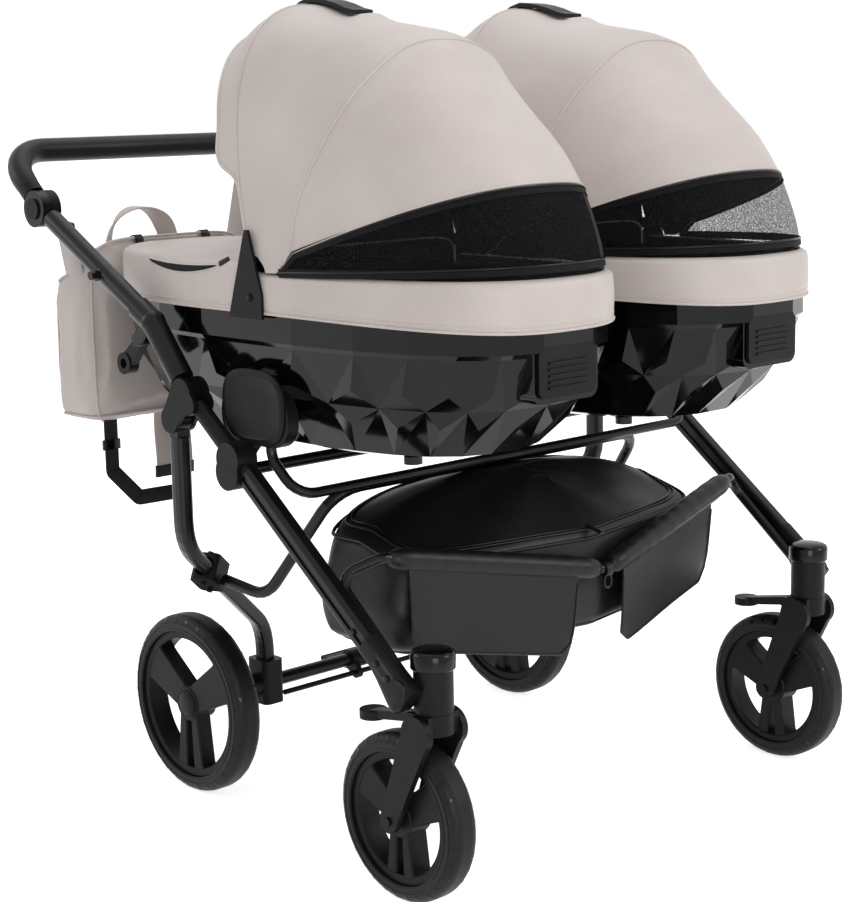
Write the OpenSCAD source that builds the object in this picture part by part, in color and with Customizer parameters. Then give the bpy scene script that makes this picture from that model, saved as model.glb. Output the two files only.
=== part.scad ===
// Twin pram: two carrycots side by side on one folding chassis.
// Travel is towards -Y, the push handle is at +Y, the floor is z = 0.
// Lengths in millimetres. Side -1 is the pram's right side, side 1 its left.

/* [Wheels] */
// Outer radius of a rear wheel
rear_r = 130; // [115:1:145]
// Outer radius of a front wheel
front_r = 108; // [95:1:115]
// Width of a tyre
tyre_w = 42; // [36:1:46]
// Depth of a tyre section
tyre_h = 23; // [18:1:28]
// Depth of the rim ring
rim_ring = 11; // [8:1:15]
// Width of the rim ring
rim_w = 34; // [28:1:36]
// Radius of a wheel hub
hub_r = 25; // [21:1:28]
// Width of a spoke where it leaves the hub
spoke_root = 36; // [30:1:40]
// Width of a spoke at the rim
spoke_tip = 46; // [36:1:54]
// Thickness of the spokes
spoke_t = 16; // [12:1:20]
// Depth of the channel moulded in each spoke
spoke_channel = 5; // [3:0.5:6]
// Radius of an axle pin
pin_r = 6; // [5:0.5:7]
// Distance from the middle of the pram to a rear wheel
rear_wheel_x = 322; // [310:1:335]

/* [Side frames] */
// Distance from the middle to a side frame
side_x = 410; // [408:1:425]
// Height of a leg profile, seen from the side
leg_h = 30; // [26:1:34]
// Width of a leg profile, seen from the front
leg_w = 22; // [20:1:24]
// Depth of the long grooves in a leg profile
groove = 2.5; // [1.5:0.5:3]
// Distance of the fold pivot in front of the rear axle
fold_y = 139; // [130:1:148]
// Height of the fold pivot
fold_z = 604; // [595:1:612]
// Distance of the rear leg pivot in front of the rear axle
rear_pivot_y = 112; // [108:1:116]
// Height of the rear leg pivot
rear_pivot_z = 568; // [562:1:572]
// Radius of the short link between shoulder and knuckle
link_r = 12; // [10:0.5:13]
// Distance from the fold pivot to the knuckle
knuckle_run = 132; // [120:1:145]

/* [Casters] */
// Distance from the middle to a caster stem
caster_x = 374; // [368:1:376]
// Distance of a caster stem in front of the rear axle
caster_y = 563; // [555:1:575]
// Distance that a front wheel trails behind its stem
trail = 52; // [44:1:58]
// Radius of a caster housing
caster_r = 24.5; // [22:0.5:27]
// Height of the lower face of a caster housing
caster_z = 254; // [248:1:260]
// Height of a caster housing with its cap
caster_h = 73; // [66:1:80]

/* [Rear frame] */
// Distance from the middle to a rear axle bracket
bracket_x = 195; // [180:1:205]
// Height of the corner where a rear leg starts its inward sweep
sweep_top_z = 392; // [380:1:400]
// Height of the corner where that sweep ends
sweep_low_z = 218; // [210:1:230]
// Radius of the sweep's bends
sweep_r = 70; // [50:1:80]
// Height of a rear leg profile
rear_leg_h = 27; // [24:1:29]
// Radius of the rear axle tube
axle_r = 10; // [8:0.5:12]
// Radius of the basket hoop
hoop_r = 8; // [7:0.5:9]

/* [Push frame] */
// Radius of the push tubes
push_r = 14; // [12:0.5:14.5]
// Radius of the sleeve below the elbow
sleeve_r = 16.5; // [15:0.5:17]
// Distance of the elbow in front of the rear axle
elbow_y = 62; // [56:1:68]
// Height of the elbow
elbow_z = 693; // [686:1:700]
// Distance of the handle joint behind the rear axle
joint_y = 200; // [192:1:206]
// Height of the handle joint
joint_z = 838; // [832:1:846]
// Radius of the handle joint
joint_r = 26; // [24:0.5:28]
// Distance of the handle bar behind the rear axle
bar_y = 292; // [284:1:300]
// Height of the handle bar
bar_z = 918; // [910:1:926]
// Radius of the handle bar's metal tube
bar_r = 13; // [11:0.5:14]
// Radius of the handle bar's cover
grip_r = 17.5; // [16:0.5:18.5]
// Radius of the handle bar's corners
bar_turn = 62; // [50:1:75]

/* [Cots] */
// Distance from the middle of the pram to the middle of a cot
cot_x = 200; // [199:0.5:200.5]
// Half of a cot's width over its rim
cot_a = 190; // [188:0.5:190.5]
// Half of a cot's length over its rim
cot_b = 408; // [400:1:412]
// Distance of a cot's middle in front of the rear axle
cot_y = 228; // [222:1:232]
// Height of the top of a cot's rim
rim_z = 768; // [764:1:774]
// Height of the rim cover at the hinge
rim_h = 52; // [46:1:58]
// How much lower the rim cover hangs at the head end
rim_drop = 12; // [8:1:16]
// Height of a cot's underside
cot_floor_z = 536; // [532:1:540]
// Relief of the facets moulded in a shell
relief = 6; // [4:0.5:7]
// Thickness of the cloth covers
cloth = 4; // [3:0.5:5]

/* [Hoods] */
// Height of a hood over the rim
hood_h = 326; // [310:1:340]
// Distance of the hood pivot in front of the cot's middle
hood_back = 27; // [20:1:32]
// Lean of the front bow towards the handle, in degrees
front_lean = 14; // [10:1:18]
// Lean of the middle bow towards the head end, in degrees
mid_lean = 30; // [26:1:34]
// Radius of the bow rods
bow_r = 4; // [3:0.5:5]
// Height of the hood pivot over the rim
hood_pivot_h = 20; // [16:1:24]

/* [Basket] */
// Half of the basket's width
basket_w = 310; // [296:1:314]
// Height of the basket's underside
basket_z = 268; // [262:1:280]
// Radius of the bow bar in front of the basket
front_bow_r = 7; // [6:0.5:8]
// Radius of the padded rolls on the bow bar
roll_r = 15; // [12:0.5:16]
// Length of the flaps that hang from the rolls
flap_h = 88; // [70:1:92]

/* [Bag] */
// Width of the changing bag
bag_w = 300; // [280:1:310]
// Height of the changing bag
bag_h = 205; // [190:1:215]
// Depth of the changing bag
bag_d = 101; // [90:1:108]
// Distance from the middle of the pram to the bag's middle
bag_x = 188; // [180:1:195]

/* [Hidden] */
right = -1;
left = 1;
$fn = 48;
black = "#232326";
gloss = "#141416";
rubber = "#2b2b2d";
beige = "#cfc7c1";
webbing = "#1d1d1f";
pale = "#e7e3de";

// Clearance of a seat, a running bore and a free move
seat_gap = 0.3;
run_gap = 0.05;
free_gap = 3;
// Length by which a cut passes a face
over = 1;
// Sides of a bent tube, and steps round each of its bends
tube_n = 16;
bend_n = 5;
// Width of a link between its round ends, as a share of them
web_share = 0.94;

// Side frame
leg_round_share = 0.3;
groove_share = 0.3;
leg_n = 3;
fold = [0, -fold_y, fold_z];
rear_pivot = [0, -rear_pivot_y, rear_pivot_z];
plug_r = leg_h / 2;
plug_back = 14;
plug_share = 0.42;
plug_y = caster_y - plug_back;
plug_z = caster_z + caster_h * plug_share;
plug = [0, -plug_y, plug_z];
leg_dir = (plug - fold) / norm(plug - fold);
leg_up = [0, -leg_dir.z, leg_dir.y];
knuckle = fold + knuckle_run * leg_dir;
knuckle_drop = 15;
bar_seat = knuckle + knuckle_drop * leg_up;
knuckle_r = 23;
knuckle_back = 9;
cheek_t = 6;
eye_half = 10;
eye_r = 18;
cheek_r = 22;
fold_pin_r = 5;
shoulder_neck = 24;
neck_half = 8.8;
link_start = 34;

// Push frame
elbow = [0, -elbow_y, elbow_z];
joint = [0, joint_y, joint_z];
sleeve_dir = (elbow - fold) / norm(elbow - fold);
push_dir = (joint - elbow) / norm(joint - elbow);
sleeve_over = 36;
sleeve_start = cheek_r + 2;
arm_start = joint_r + 2;
arm_half = 9.8;
socket_h = 14;
socket_wall = 3;
disc_t = 15;
button_r = 15;
button_t = 6;
button_stand = 3;
button_travel = 4;
stud_r = 6;
stud_h = 9;
stud_drop = 0.087;
boss_r = 9;
boss_h = 1.5;
stud_share = 0.42;
trigger_r = 9;
trigger_tip_r = 13;
trigger_half = 6;
trigger_lip = 2;
trigger_hole_r = 7;
trigger_pin_r = 3;
trigger_y = 36;
trigger_z = 668;
trigger_reach = [0, 38, -35];
trigger_pivot = [0, -trigger_y, trigger_z];
bar_corner = [0, bar_y, bar_z];
arm_dir = (bar_corner - joint) / norm(bar_corner - joint);
grip_start = 16;

// Cross bars and adapters
cross_r = 8;
u_bar_r = 7;
u_bar_x = 383;
u_bar_y = 325;
u_bar_z = 487;
u_bar_turn = 30;
u_bar_drop = 16;
adapter_w = 78;
adapter_h = 74;
adapter_corner = 18;
adapter_wing_w = 138;
adapter_wing_corner = 34;
adapter_top_z = 620;
adapter_low_z = adapter_top_z - adapter_h;
adapter_mid_z = adapter_top_z - adapter_h / 2;
adapter_in = 376;
adapter_out = 393.7;
lug_t = 10;
lug_w = 38;
lug_deep = 30;
lug_head = 16;
lug_in = 181;
lug_y = cot_y + hood_back;
web_in = 158;
centre_half = 25;
saddle_half = 14;

// Rear frame
axle_z = rear_r;
bracket_w = 36;
bracket_d = 46;
bracket_up = 38;
bracket_down = 28;
stub_r = 17;
stub_gap = 4;
pin_head = 3;
hub_w = 36;
clamp_w = 46;
clamp_d = 37;
clamp_t = 40;
clamp_share = 0.3;
bolt_r = 4;
bolt_h = 5;
pedal_half = 34;
pedal_reach = 62;
pedal_t = 8;
pedal_wall = 5;
rod_r = 4;
rod_drop = 17;
bracket_top = axle_z + bracket_up;
rear_leg_path = [[side_x, -rear_pivot_y, rear_pivot_z - shoulder_neck - over],
    [side_x, -rear_pivot_y, sweep_top_z], [bracket_x, 0, sweep_low_z], [bracket_x, 0, bracket_top]];
clamp_at = mix(rear_leg_path[1], rear_leg_path[2], clamp_share);
clamp_dir = unit(rear_leg_path[2] - rear_leg_path[1]);

// Casters
neck_r = 12;
stem_r = 7;
stem_h = 46;
dome_h = 12;
crown_h = 26;
crown_r = 25;
crown_d = 35;
arm_t = 9;
arm_gap = 3.5;
arm_top_r = 24;
arm_low_r = 15;
lever_r = 7;
lever_tip_r = 11;
lever_pad_r = 17.5;
lever_half = 9;
lever_pin_r = 3;
lever_reach = 78;
lever_fall = 14;
lever_back = 34;
lever_lug_t = 5;
fork_half = tyre_w / 2 + arm_gap;
fork_top = caster_z - seat_gap;
wheel_y = trail - caster_y;
lever_pivot = [0, lever_back - caster_y, fork_top - crown_h / 2];

// Cots
round_n = 2.8;
shell_clear = 2.4;
rim_cols = 26;
rim_open = 1.4;
mid_share = 0.5;
shell_gap = cloth + shell_clear;
shell_a = cot_a - shell_gap;
shell_b = cot_b - shell_gap;
shell_drop = 14;
shell_top_z = rim_z - shell_drop;
facet_count = 24;
band_h = 30;
band_z = rim_z - rim_h - rim_drop - band_h;
cot_wall_share = 0.955;
// Height share and size share of each row of facets, from the underside to the smooth band
row_shares = [[0, 0.6], [0.06, 0.74], [0.52, 0.9], [1, 0.985]];
star_row = 2;
// Same for the inside of the shell, from the smooth band down
inner_shares = [[1, 0.935], [0.52, 0.84], [0.2, 0.72], [0.1, 0.6]];
mattress_h = 40;
// Height share, width share and length share of each row of the mattress
mattress_shares = [[0, 0.56, 0.56], [0.5, 0.66, 0.66], [0.8, 0.66, 0.66], [1, 0.54, 0.6]];
foot_r = 12;
foot_h = 9;
foot_x_share = 0.42;
foot_y_share = 0.5;
panel_w = 100;
panel_h = 62;
panel_frame = 7;
panel_corner = 14;
panel_z = 655;
panel_nose = 4;
panel_share = 0.975;
panel_out = 2;
panel_clear = 12;
panel_face = -shell_b * panel_share - panel_out;
panel_travel = 5;
panel_depth = 34;
panel_pocket = 16;
rib_n = 5;
rib_w = 3;
rib_step = 7.6;
rib_t = 2;
plate_w = 68;
plate_back = 24;
plate_tip = 54;
plate_t = 4;
plate_low = 6;
plate_pin_r = 3;
eye_t = 4;
bow_eye_r = 8;
apron_lift = 24;
apron_n = 10;
apron_front = 3;
apron_rows = 13;
apron_cols = 14;
// Angle at which the apron ends, how its rows bunch, and how flat its middle stays
apron_end = 86;
apron_bunch = 1.6;
apron_flat_share = 0.4;

// Hoods
hood_t = 3;
hood_z = rim_z + seat_gap;
pivot_z = rim_z + hood_pivot_h;
// Reach of the hood cover from the pivot line as a share of its height, by lean in degrees
reach_shares = [[-90, 1.145], [-77, 1.1], [-64, 1.05], [-50, 0.99], [-40, 0.98], [-30, 1.01],
    [-15, 0.98], [0, 0.985], [14, 1.07], [26, 1.05]];
visor_turn = 12;
visor_lean = front_lean + visor_turn;
hood_n = 2.5;
hood_a_share = 0.985;
hood_foot = 2.4;
grip_back_lean = 16;
grip_front_lean = 8;
hood_leans = [-90, -77, -64, -50, -40, -mid_lean, -15, front_lean - grip_back_lean, 6, front_lean,
    front_lean + visor_turn / 2, visor_lean];
hood_cols = 18;
bow_inset = 9.5;
mid_bow_drop = 7;
bow_cols = 14;
bow_foot = 20;
grip_w = 34;
grip_t = 6;
grip_lift = 3;
grip_rows = 8;
front_eye_x = cot_a * hood_a_share - bow_inset + eye_t / 4;
mid_eye_x = front_eye_x - 2 * bow_r - over;
pin_in = mid_eye_x - eye_t;

// Basket
basket_front = 434;
basket_back = 242;
basket_mid = (basket_back + basket_front) / 2;
// Size share, height share and share of the lid's rise of each row, from the underside up
basket_shares = [[0.86, 0, 0], [0.97, 0.12, 0], [1, 0.42, 0], [0.965, 0.7, 0], [0.93, 0.95, 0],
    [0.89, 1, 0], [0.58, 1, 0.7], [0.25, 1, 1]];
basket_point = 52;
basket_top_back_z = 459.4;
basket_top_front_z = 392;
basket_lid = 12;
basket_n = 6;
basket_cols = 36;
hoop_y = 300;
hoop_z = 478;
hoop_half = 298;
hoop_turn = 46;
hoop_low = [325, -178, 318];
hoop_start = [clamp_at.x - clamp_w / 4, clamp_at.y - clamp_d / 2, clamp_at.z - clamp_t / 4];
hoop_path = [hoop_start, hoop_low, [hoop_half, -hoop_y, hoop_z]];
bow_turn = 22;
bow_side_x = side_x - leg_w / 2 - front_bow_r - seat_gap;
bow_foot_pt = [bow_side_x, -532, 292];
bow_top_pt = [bow_side_x, -408, 396];
bow_in_pt = [345, -440, 418];
bow_tip_pt = [0, -505, 352];
bow_half = sided([bow_foot_pt, bow_top_pt, bow_in_pt], right);
bow_path = concat(bow_half, [bow_tip_pt], flip(bow_half));
roll_end = 22;
flap_share = 0.06;
flap_t = 3;

// Bag
bag_front = 196;
bag_z = 520;
bag_n = 9;
bag_cols = 28;
bag_mid = [-bag_x, bag_front + bag_d / 2, bag_z];
// Height share and size share of each row of the bag
bag_shares = [[0, 0.92], [0.08, 1], [0.9, 1], [1, 0.94]];
strap_share = 0.42;
loop_n = 8;
loop_share = 0.08;
tail_share = 0.06;
// Places along the hanging web, as shares of the bag's width and of the tail's length
web_shares = [[-0.4, 0], [-0.4, 1], [-0.2, 1.25], [0.06, 1.25]];
strap_w = 24;
strap_t = 3;
loop_w = 120;
loop_h = 90;
tail_w = 70;
tail_h = 110;

// Origin: floor level, midway between head end and handle bar
front_end = cot_y + max(cot_b, shell_b * panel_share + panel_out + panel_nose + rib_t);
back_end = bar_y + grip_r;
y_shift = (front_end - back_end) / 2;

function unit(v) = v / norm(v);
function at_side(p, side) = [side * side_x, p.y, p.z];
function across(w) = unit(cross(w, abs(w.z) < 0.9 ? [0, 0, 1] : [1, 0, 0]));
function way(path, i) = unit(path[i + 1] - path[i]);
function turn_at(path, i) = acos(way(path, i - 1) * way(path, i));
function pole(path, i) = unit(cross(way(path, i - 1), way(path, i)));
function setback(path, i, turn_r) =
    i == 0 || i == len(path) - 1 ? 0 : turn_r * tan(turn_at(path, i) / 2);
function flip(path) = [for (i = [len(path) - 1:-1:0]) [-path[i].x, path[i].y, path[i].z]];
function super(t, n) = [sign(cos(t)) * abs(cos(t)) ^ (2 / n), sign(sin(t)) * abs(sin(t)) ^ (2 / n)];
function mix(a, b, t) = a + (b - a) * t;

// Puts children in a frame given by three unit vectors and a point
module frame(x, y, z, p) {
    multmatrix([[x.x, y.x, z.x, p.x], [x.y, y.y, z.y, p.y], [x.z, y.z, z.z, p.z], [0, 0, 0, 1]])
        children();
}

// Places and directions along a bent path: its ends, and steps round each bend
function bend_steps(path, turn_r, i) = let (
    u = way(path, i - 1), e = cross(u, pole(path, i)),
    centre = path[i] - setback(path, i, turn_r) * u - turn_r * e)
    [for (k = [0:bend_n]) let (t = turn_at(path, i) * k / bend_n)
        [centre + turn_r * (cos(t) * e + sin(t) * u), cos(t) * u - sin(t) * e]];
function bent(path, turn_r) = concat([[path[0], way(path, 0)]],
    len(path) < 3 ? [] : [for (i = [1:len(path) - 2]) each bend_steps(path, turn_r, i)],
    [[path[len(path) - 1], way(path, len(path) - 2)]]);
// Directions square to the path, carried along it without twist
function carried(steps) = [for (i = 0, v = across(steps[0][1]); i < len(steps);
    i = i + 1, v = i < len(steps) ? unit(v - (v * steps[i][1]) * steps[i][1]) : v) v];
function tube_rings(path, a, b, turn_r, n = 2) = let (steps = bent(path, turn_r), v = carried(steps))
    [for (i = [0:len(steps) - 1]) [for (j = [0:tube_n - 1]) let (q = super(360 * j / tube_n, n))
        steps[i][0] + a * q.x * v[i] + b * q.y * cross(steps[i][1], v[i])]];

// Round bar along a bent path
module bar(path, r, turn_r) {
    loft(tube_rings(path, r, r, turn_r));
}

module rod(a, b, r) {
    w = unit(b - a);
    n = across(w);
    frame(cross(n, w), n, w, a) cylinder(h = norm(b - a), r = r);
}

// A flat link in the plane of its 2D points, with round ends
module link_2d(a, ra, b, rb) {
    d = unit(b - a);
    n = [-d.y, d.x] * web_share;
    translate(a) circle(ra);
    translate(b) circle(rb);
    polygon([a + n * ra, b + n * rb, b - n * rb, a - n * ra]);
}

// Turns a 2D shape drawn in (y, z) into a plate between two distances from the middle
module side_plate(side, x0, x1) {
    frame([0, 1, 0], [0, 0, 1], [1, 0, 0], [side > 0 ? x0 : -x1, 0, 0])
        linear_extrude(x1 - x0) children();
}

module round_box_2d(w, h, r) {
    square([w - 2 * r, h], center = true);
    square([w, h - 2 * r], center = true);
    for (x = [-1, 1]) for (y = [-1, 1]) translate([x * (w / 2 - r), y * (h / 2 - r)]) circle(r);
}

// Leg profile with a groove along each broad face
module leg_2d(h, w) {
    difference() {
        round_box_2d(w, h, w * leg_round_share);
        for (s = [-1, 1]) translate([s * w / 2, 0]) square([2 * groove, h * groove_share], center = true);
    }
}

// Closed skin through rings of equal point counts: capped at both ends, or joined end to end
module loft(rings, joined = false) {
    m = len(rings[0]);
    n = len(rings);
    points = [for (ring = rings) each ring];
    sides = [for (i = [0:joined ? n - 1 : n - 2]) for (j = [0:m - 1]) let (k = (j + 1) % m, h = (i + 1) % n)
        each [[i * m + j, h * m + j, i * m + k], [i * m + k, h * m + j, h * m + k]]];
    caps = joined ? [] : [[for (j = [0:m - 1]) j], [for (j = [m - 1:-1:0]) (n - 1) * m + j]];
    polyhedron(points, concat(sides, caps));
}

// Solid between two grids of points, joined along their edges
module slab(face, back) {
    n = len(face);
    m = len(face[0]);
    points = concat([for (row = face) each row], [for (row = back) each row]);
    f = function(i, j) i * m + j;
    b = function(i, j) n * m + i * m + j;
    skins = [for (i = [0:n - 2]) for (j = [0:m - 2]) each [
        [f(i, j), f(i + 1, j), f(i, j + 1)], [f(i, j + 1), f(i + 1, j), f(i + 1, j + 1)],
        [b(i, j), b(i, j + 1), b(i + 1, j)], [b(i, j + 1), b(i + 1, j + 1), b(i + 1, j)]]];
    ends = [for (i = [0:n - 2]) each [
        [f(i, 0), b(i, 0), f(i + 1, 0)], [f(i + 1, 0), b(i, 0), b(i + 1, 0)],
        [f(i, m - 1), f(i + 1, m - 1), b(i, m - 1)], [f(i + 1, m - 1), b(i + 1, m - 1), b(i, m - 1)]]];
    rims = [for (j = [0:m - 2]) each [
        [f(0, j), f(0, j + 1), b(0, j)], [f(0, j + 1), b(0, j + 1), b(0, j)],
        [f(n - 1, j), b(n - 1, j), f(n - 1, j + 1)], [f(n - 1, j + 1), b(n - 1, j), b(n - 1, j + 1)]]];
    polyhedron(points, concat(skins, ends, rims));
}

// Round rod swept along a planar row of points, with flat ends
module sweep(path, r, normal, sides = 8) {
    n = len(path);
    rings = [for (i = [0:n - 1])
        let (w = unit(path[min(i + 1, n - 1)] - path[max(i - 1, 0)]), v = cross(normal, w))
        [for (j = [0:sides - 1]) path[i] + r * (cos(360 * j / sides) * normal - sin(360 * j / sides) * v)]];
    loft(rings);
}

// Moves a piece from the rear axle's frame to the part's origin
module placed() {
    translate([0, y_shift, 0]) children();
}

// Wheel parts, centred on the wheel's axis along x
module rim(r) {
    rim_r = r - tyre_h;
    inner_r = rim_r - rim_ring;
    rotate([0, 90, 0]) difference() {
        union() {
            rotate_extrude() translate([inner_r, -rim_w / 2]) square([rim_ring, rim_w]);
            cylinder(h = hub_w, r = hub_r, center = true);
            linear_extrude(spoke_t, center = true) for (i = [0:2]) rotate(120 * i)
                polygon([[0, -spoke_root / 2], [inner_r + rim_ring / 2, -spoke_tip / 2],
                    [inner_r + rim_ring / 2, spoke_tip / 2], [0, spoke_root / 2]]);
        }
        for (i = [0:2]) for (face = [-1, 1]) rotate(120 * i)
            translate([(hub_r + inner_r) / 2, 0, face * spoke_t / 2])
            cube([inner_r - hub_r - 2 * rim_ring / 3, spoke_root / 2, 2 * spoke_channel], center = true);
        cylinder(h = hub_w + 2 * over, r = pin_r + run_gap, center = true);
    }
}

module tyre(r) {
    inner = r - tyre_h;
    shoulder_r = tyre_w / 3;
    rotate([0, 90, 0]) rotate_extrude() intersection() {
        union() {
            translate([inner, -tyre_w / 2]) square([tyre_h - shoulder_r, tyre_w]);
            translate([inner, -tyre_w / 2 + shoulder_r]) square([tyre_h, tyre_w - 2 * shoulder_r]);
            for (s = [-1, 1]) translate([r - shoulder_r, s * (tyre_w / 2 - shoulder_r)]) circle(shoulder_r);
        }
        translate([inner, -tyre_w]) square([2 * tyre_h, 2 * tyre_w]);
    }
}

module rear_wheel_place(side) {
    placed() translate([side * rear_wheel_x, 0, axle_z]) children();
}

module front_wheel_place(side) {
    placed() translate([side * caster_x, trail - caster_y, front_r]) children();
}

// Front leg, knuckle and shoulder
module front_leg(side) {
    a = at_side(knuckle + knuckle_r * leg_dir, side);
    b = at_side(plug - (plug_r + seat_gap) * leg_dir, side);
    placed() frame([1, 0, 0], cross(leg_dir, [1, 0, 0]), leg_dir, a)
        linear_extrude(norm(b - a)) leg_2d(leg_h, leg_w);
}

function yz(p) = [p.y, p.z];

module knuckle_part(side) {
    half = eye_half + cheek_t;
    placed() {
        side_plate(side, side_x - half, side_x + half)
            link_2d(yz(knuckle - knuckle_back * leg_dir), knuckle_r, yz(bar_seat), knuckle_r);
        rod(at_side(knuckle, side), at_side(fold + link_start * leg_dir, side), link_r);
        rod(at_side(knuckle, side), at_side(knuckle + knuckle_r * leg_dir, side), leg_w / 2);
    }
}

module shoulder(side) {
    inner = eye_half + seat_gap;
    block_a = fold + shoulder_neck * leg_dir;
    block_b = fold + link_start * leg_dir;
    placed() {
        for (s = [-1, 1]) {
            x0 = s > 0 ? side_x + inner : side_x - inner - cheek_t;
            side_plate(side, x0, x0 + cheek_t) {
                link_2d(yz(fold), cheek_r, yz(rear_pivot), eye_r);
                link_2d(yz(fold), cheek_r, yz(block_b - plug_r * leg_dir), plug_r);
            }
        }
        rod(at_side(block_a, side), at_side(block_b, side), eye_half + seat_gap + over);
        for (p = [fold, rear_pivot]) side_plate(side, side_x - inner, side_x + inner)
            translate(yz(p)) circle(fold_pin_r);
    }
}

module caster_housing(side) {
    z0 = plug_z;
    placed() difference() {
        union() {
            translate([side * caster_x, -caster_y, caster_z]) {
                cylinder(h = caster_h - dome_h, r = caster_r);
                translate([0, 0, caster_h - dome_h]) rotate_extrude() intersection() {
                    union() {
                        square([caster_r - dome_h, dome_h]);
                        translate([caster_r - dome_h, 0]) circle(dome_h);
                    }
                    square([caster_r, dome_h]);
                }
            }
            rod([side * (side_x + leg_w / 2), -plug_y, z0],
                [side * (side_x - leg_w / 2), -plug_y, z0], plug_r);
            rod([side * side_x, -plug_y, z0], [side * caster_x, -caster_y, z0], neck_r);
        }
        translate([side * caster_x, -caster_y, caster_z - over])
            cylinder(h = stem_h + over, r = stem_r + run_gap);
    }
}

// Caster fork with its stem and axle pin, and the swivel lock lever
module fork(side) {
    crown_low = fork_top - crown_h;
    placed() {
        for (s = [-1, 1]) translate([side * caster_x, 0, 0]) {
            x0 = s > 0 ? fork_half : -fork_half - arm_t;
            frame([0, 1, 0], [0, 0, 1], [1, 0, 0], [x0, 0, 0]) linear_extrude(arm_t)
                link_2d([-caster_y, fork_top - arm_top_r], arm_top_r, [wheel_y, front_r], arm_low_r);
        }
        translate([side * caster_x, -caster_y, crown_low]) cylinder(h = crown_h, r = crown_r);
        translate([side * caster_x - fork_half - over, -caster_y - crown_d / 2, crown_low])
            cube([2 * fork_half + 2 * over, crown_d, crown_h]);
        translate([side * caster_x, -caster_y, fork_top - over])
            cylinder(h = stem_h - free_gap + over, r = stem_r);
        side_plate(side, caster_x - fork_half - arm_t - pin_head, caster_x + fork_half + arm_t + pin_head)
            translate([wheel_y, front_r]) circle(pin_r);
        for (s = [-1, 1]) {
            inner = lever_half + seat_gap;
            x0 = caster_x + (s > 0 ? inner : -inner - lever_lug_t);
            side_plate(side, x0, x0 + lever_lug_t)
                link_2d(yz(lever_pivot), lever_r, [-caster_y + crown_r / 2, lever_pivot.z], lever_r);
        }
        side_plate(side, caster_x - lever_half - seat_gap, caster_x + lever_half + seat_gap)
            translate(yz(lever_pivot)) circle(lever_pin_r);
    }
}

module swivel_lever(side) {
    tip = [lever_pivot.y + lever_reach, lever_pivot.z - lever_fall];
    placed() difference() {
        union() {
            side_plate(side, caster_x - lever_half, caster_x + lever_half)
                link_2d(yz(lever_pivot), lever_r - 2 * seat_gap, tip, lever_tip_r / 2);
            translate([side * caster_x, tip.x, tip.y])
                cylinder(h = lever_tip_r, r = lever_pad_r, center = true);
        }
        side_plate(side, caster_x - lever_half - over, caster_x + lever_half + over)
            translate(yz(lever_pivot)) circle(lever_pin_r + run_gap);
    }
}

// Rear legs, axle and brake
function sided(path, side) = [for (p = path) [side * p.x, p.y, p.z]];

// Bent oval tube with its eye piece on top
module rear_leg(side) {
    neck = rear_leg_path[0];
    placed() {
        loft(tube_rings(sided(rear_leg_path, side), rear_leg_h / 2, leg_w / 2, sweep_r, leg_n));
        difference() {
            union() {
                side_plate(side, side_x - eye_half, side_x + eye_half)
                    translate(yz(rear_pivot)) circle(eye_r - over);
                side_plate(side, side_x - eye_half, side_x + eye_half)
                    translate([-rear_pivot_y - neck_half, neck.z + seat_gap])
                        square([2 * neck_half, shoulder_neck]);
            }
            side_plate(side, side_x - eye_half - over, side_x + eye_half + over)
                translate(yz(rear_pivot)) circle(fold_pin_r + run_gap);
        }
    }
}

module axle_bracket(side) {
    placed() {
        translate([side * bracket_x, 0, axle_z - bracket_down])
            linear_extrude(bracket_up + bracket_down) round_box_2d(bracket_w, bracket_d, bracket_w / 4);
        hub = [side * bracket_x, 0, axle_z];
        rod(hub, [side * (rear_wheel_x - hub_w / 2 - stub_gap), 0, axle_z], stub_r);
        rod(hub, [side * (rear_wheel_x + hub_w / 2 + pin_head), 0, axle_z], pin_r);
    }
}

// Clamp on a rear leg, with a seat for one end of the hoop
module strut_clamp(side) {
    d = [side * clamp_dir.x, clamp_dir.y, clamp_dir.z];
    n = across(d);
    at = [side * clamp_at.x, clamp_at.y, clamp_at.z];
    hoop = sided(hoop_path, side);
    h = way(hoop, 0);
    placed() difference() {
        frame(d, n, cross(d, n), at) {
            linear_extrude(clamp_t, center = true) round_box_2d(clamp_w, clamp_d, clamp_d / 5);
            for (s = [-1, 1]) translate([s * clamp_w / 4, 0, 0])
                cylinder(h = clamp_t + 2 * bolt_h, r = bolt_r, center = true);
        }
        rod(at - clamp_w * d, at + clamp_w * d, rear_leg_h / 2 + over);
        rod(hoop[0] - over * h, hoop[0] + clamp_w * h, hoop_r + seat_gap);
    }
}

// Pedal that turns on the rear axle, with the bar that carries its pull to the wheels
module brake_pedal() {
    sleeve_out = axle_r + pedal_wall;
    end_x = bracket_x - bracket_w / 2 - free_gap;
    color(black) placed() difference() {
        union() {
            rod([-pedal_half, 0, axle_z], [pedal_half, 0, axle_z], sleeve_out);
            translate([-pedal_half, 0, axle_z - sleeve_out]) cube([2 * pedal_half, pedal_reach, pedal_t]);
            translate([-pedal_half, pedal_reach, axle_z - sleeve_out + pedal_t / 2]) rotate([0, 90, 0])
                cylinder(h = 2 * pedal_half, r = pedal_t / 2 + over);
            rod([-end_x, -rod_drop, axle_z - rod_drop], [end_x, -rod_drop, axle_z - rod_drop], rod_r);
            for (s = [-1, 1]) side_plate(s, pedal_half - pedal_t, pedal_half + over)
                link_2d([0, axle_z], sleeve_out - over, [-rod_drop, axle_z - rod_drop], rod_r + pedal_wall);
        }
        rod([-pedal_half - 2 * over, 0, axle_z], [pedal_half + 2 * over, 0, axle_z], axle_r + run_gap);
    }
}

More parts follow.
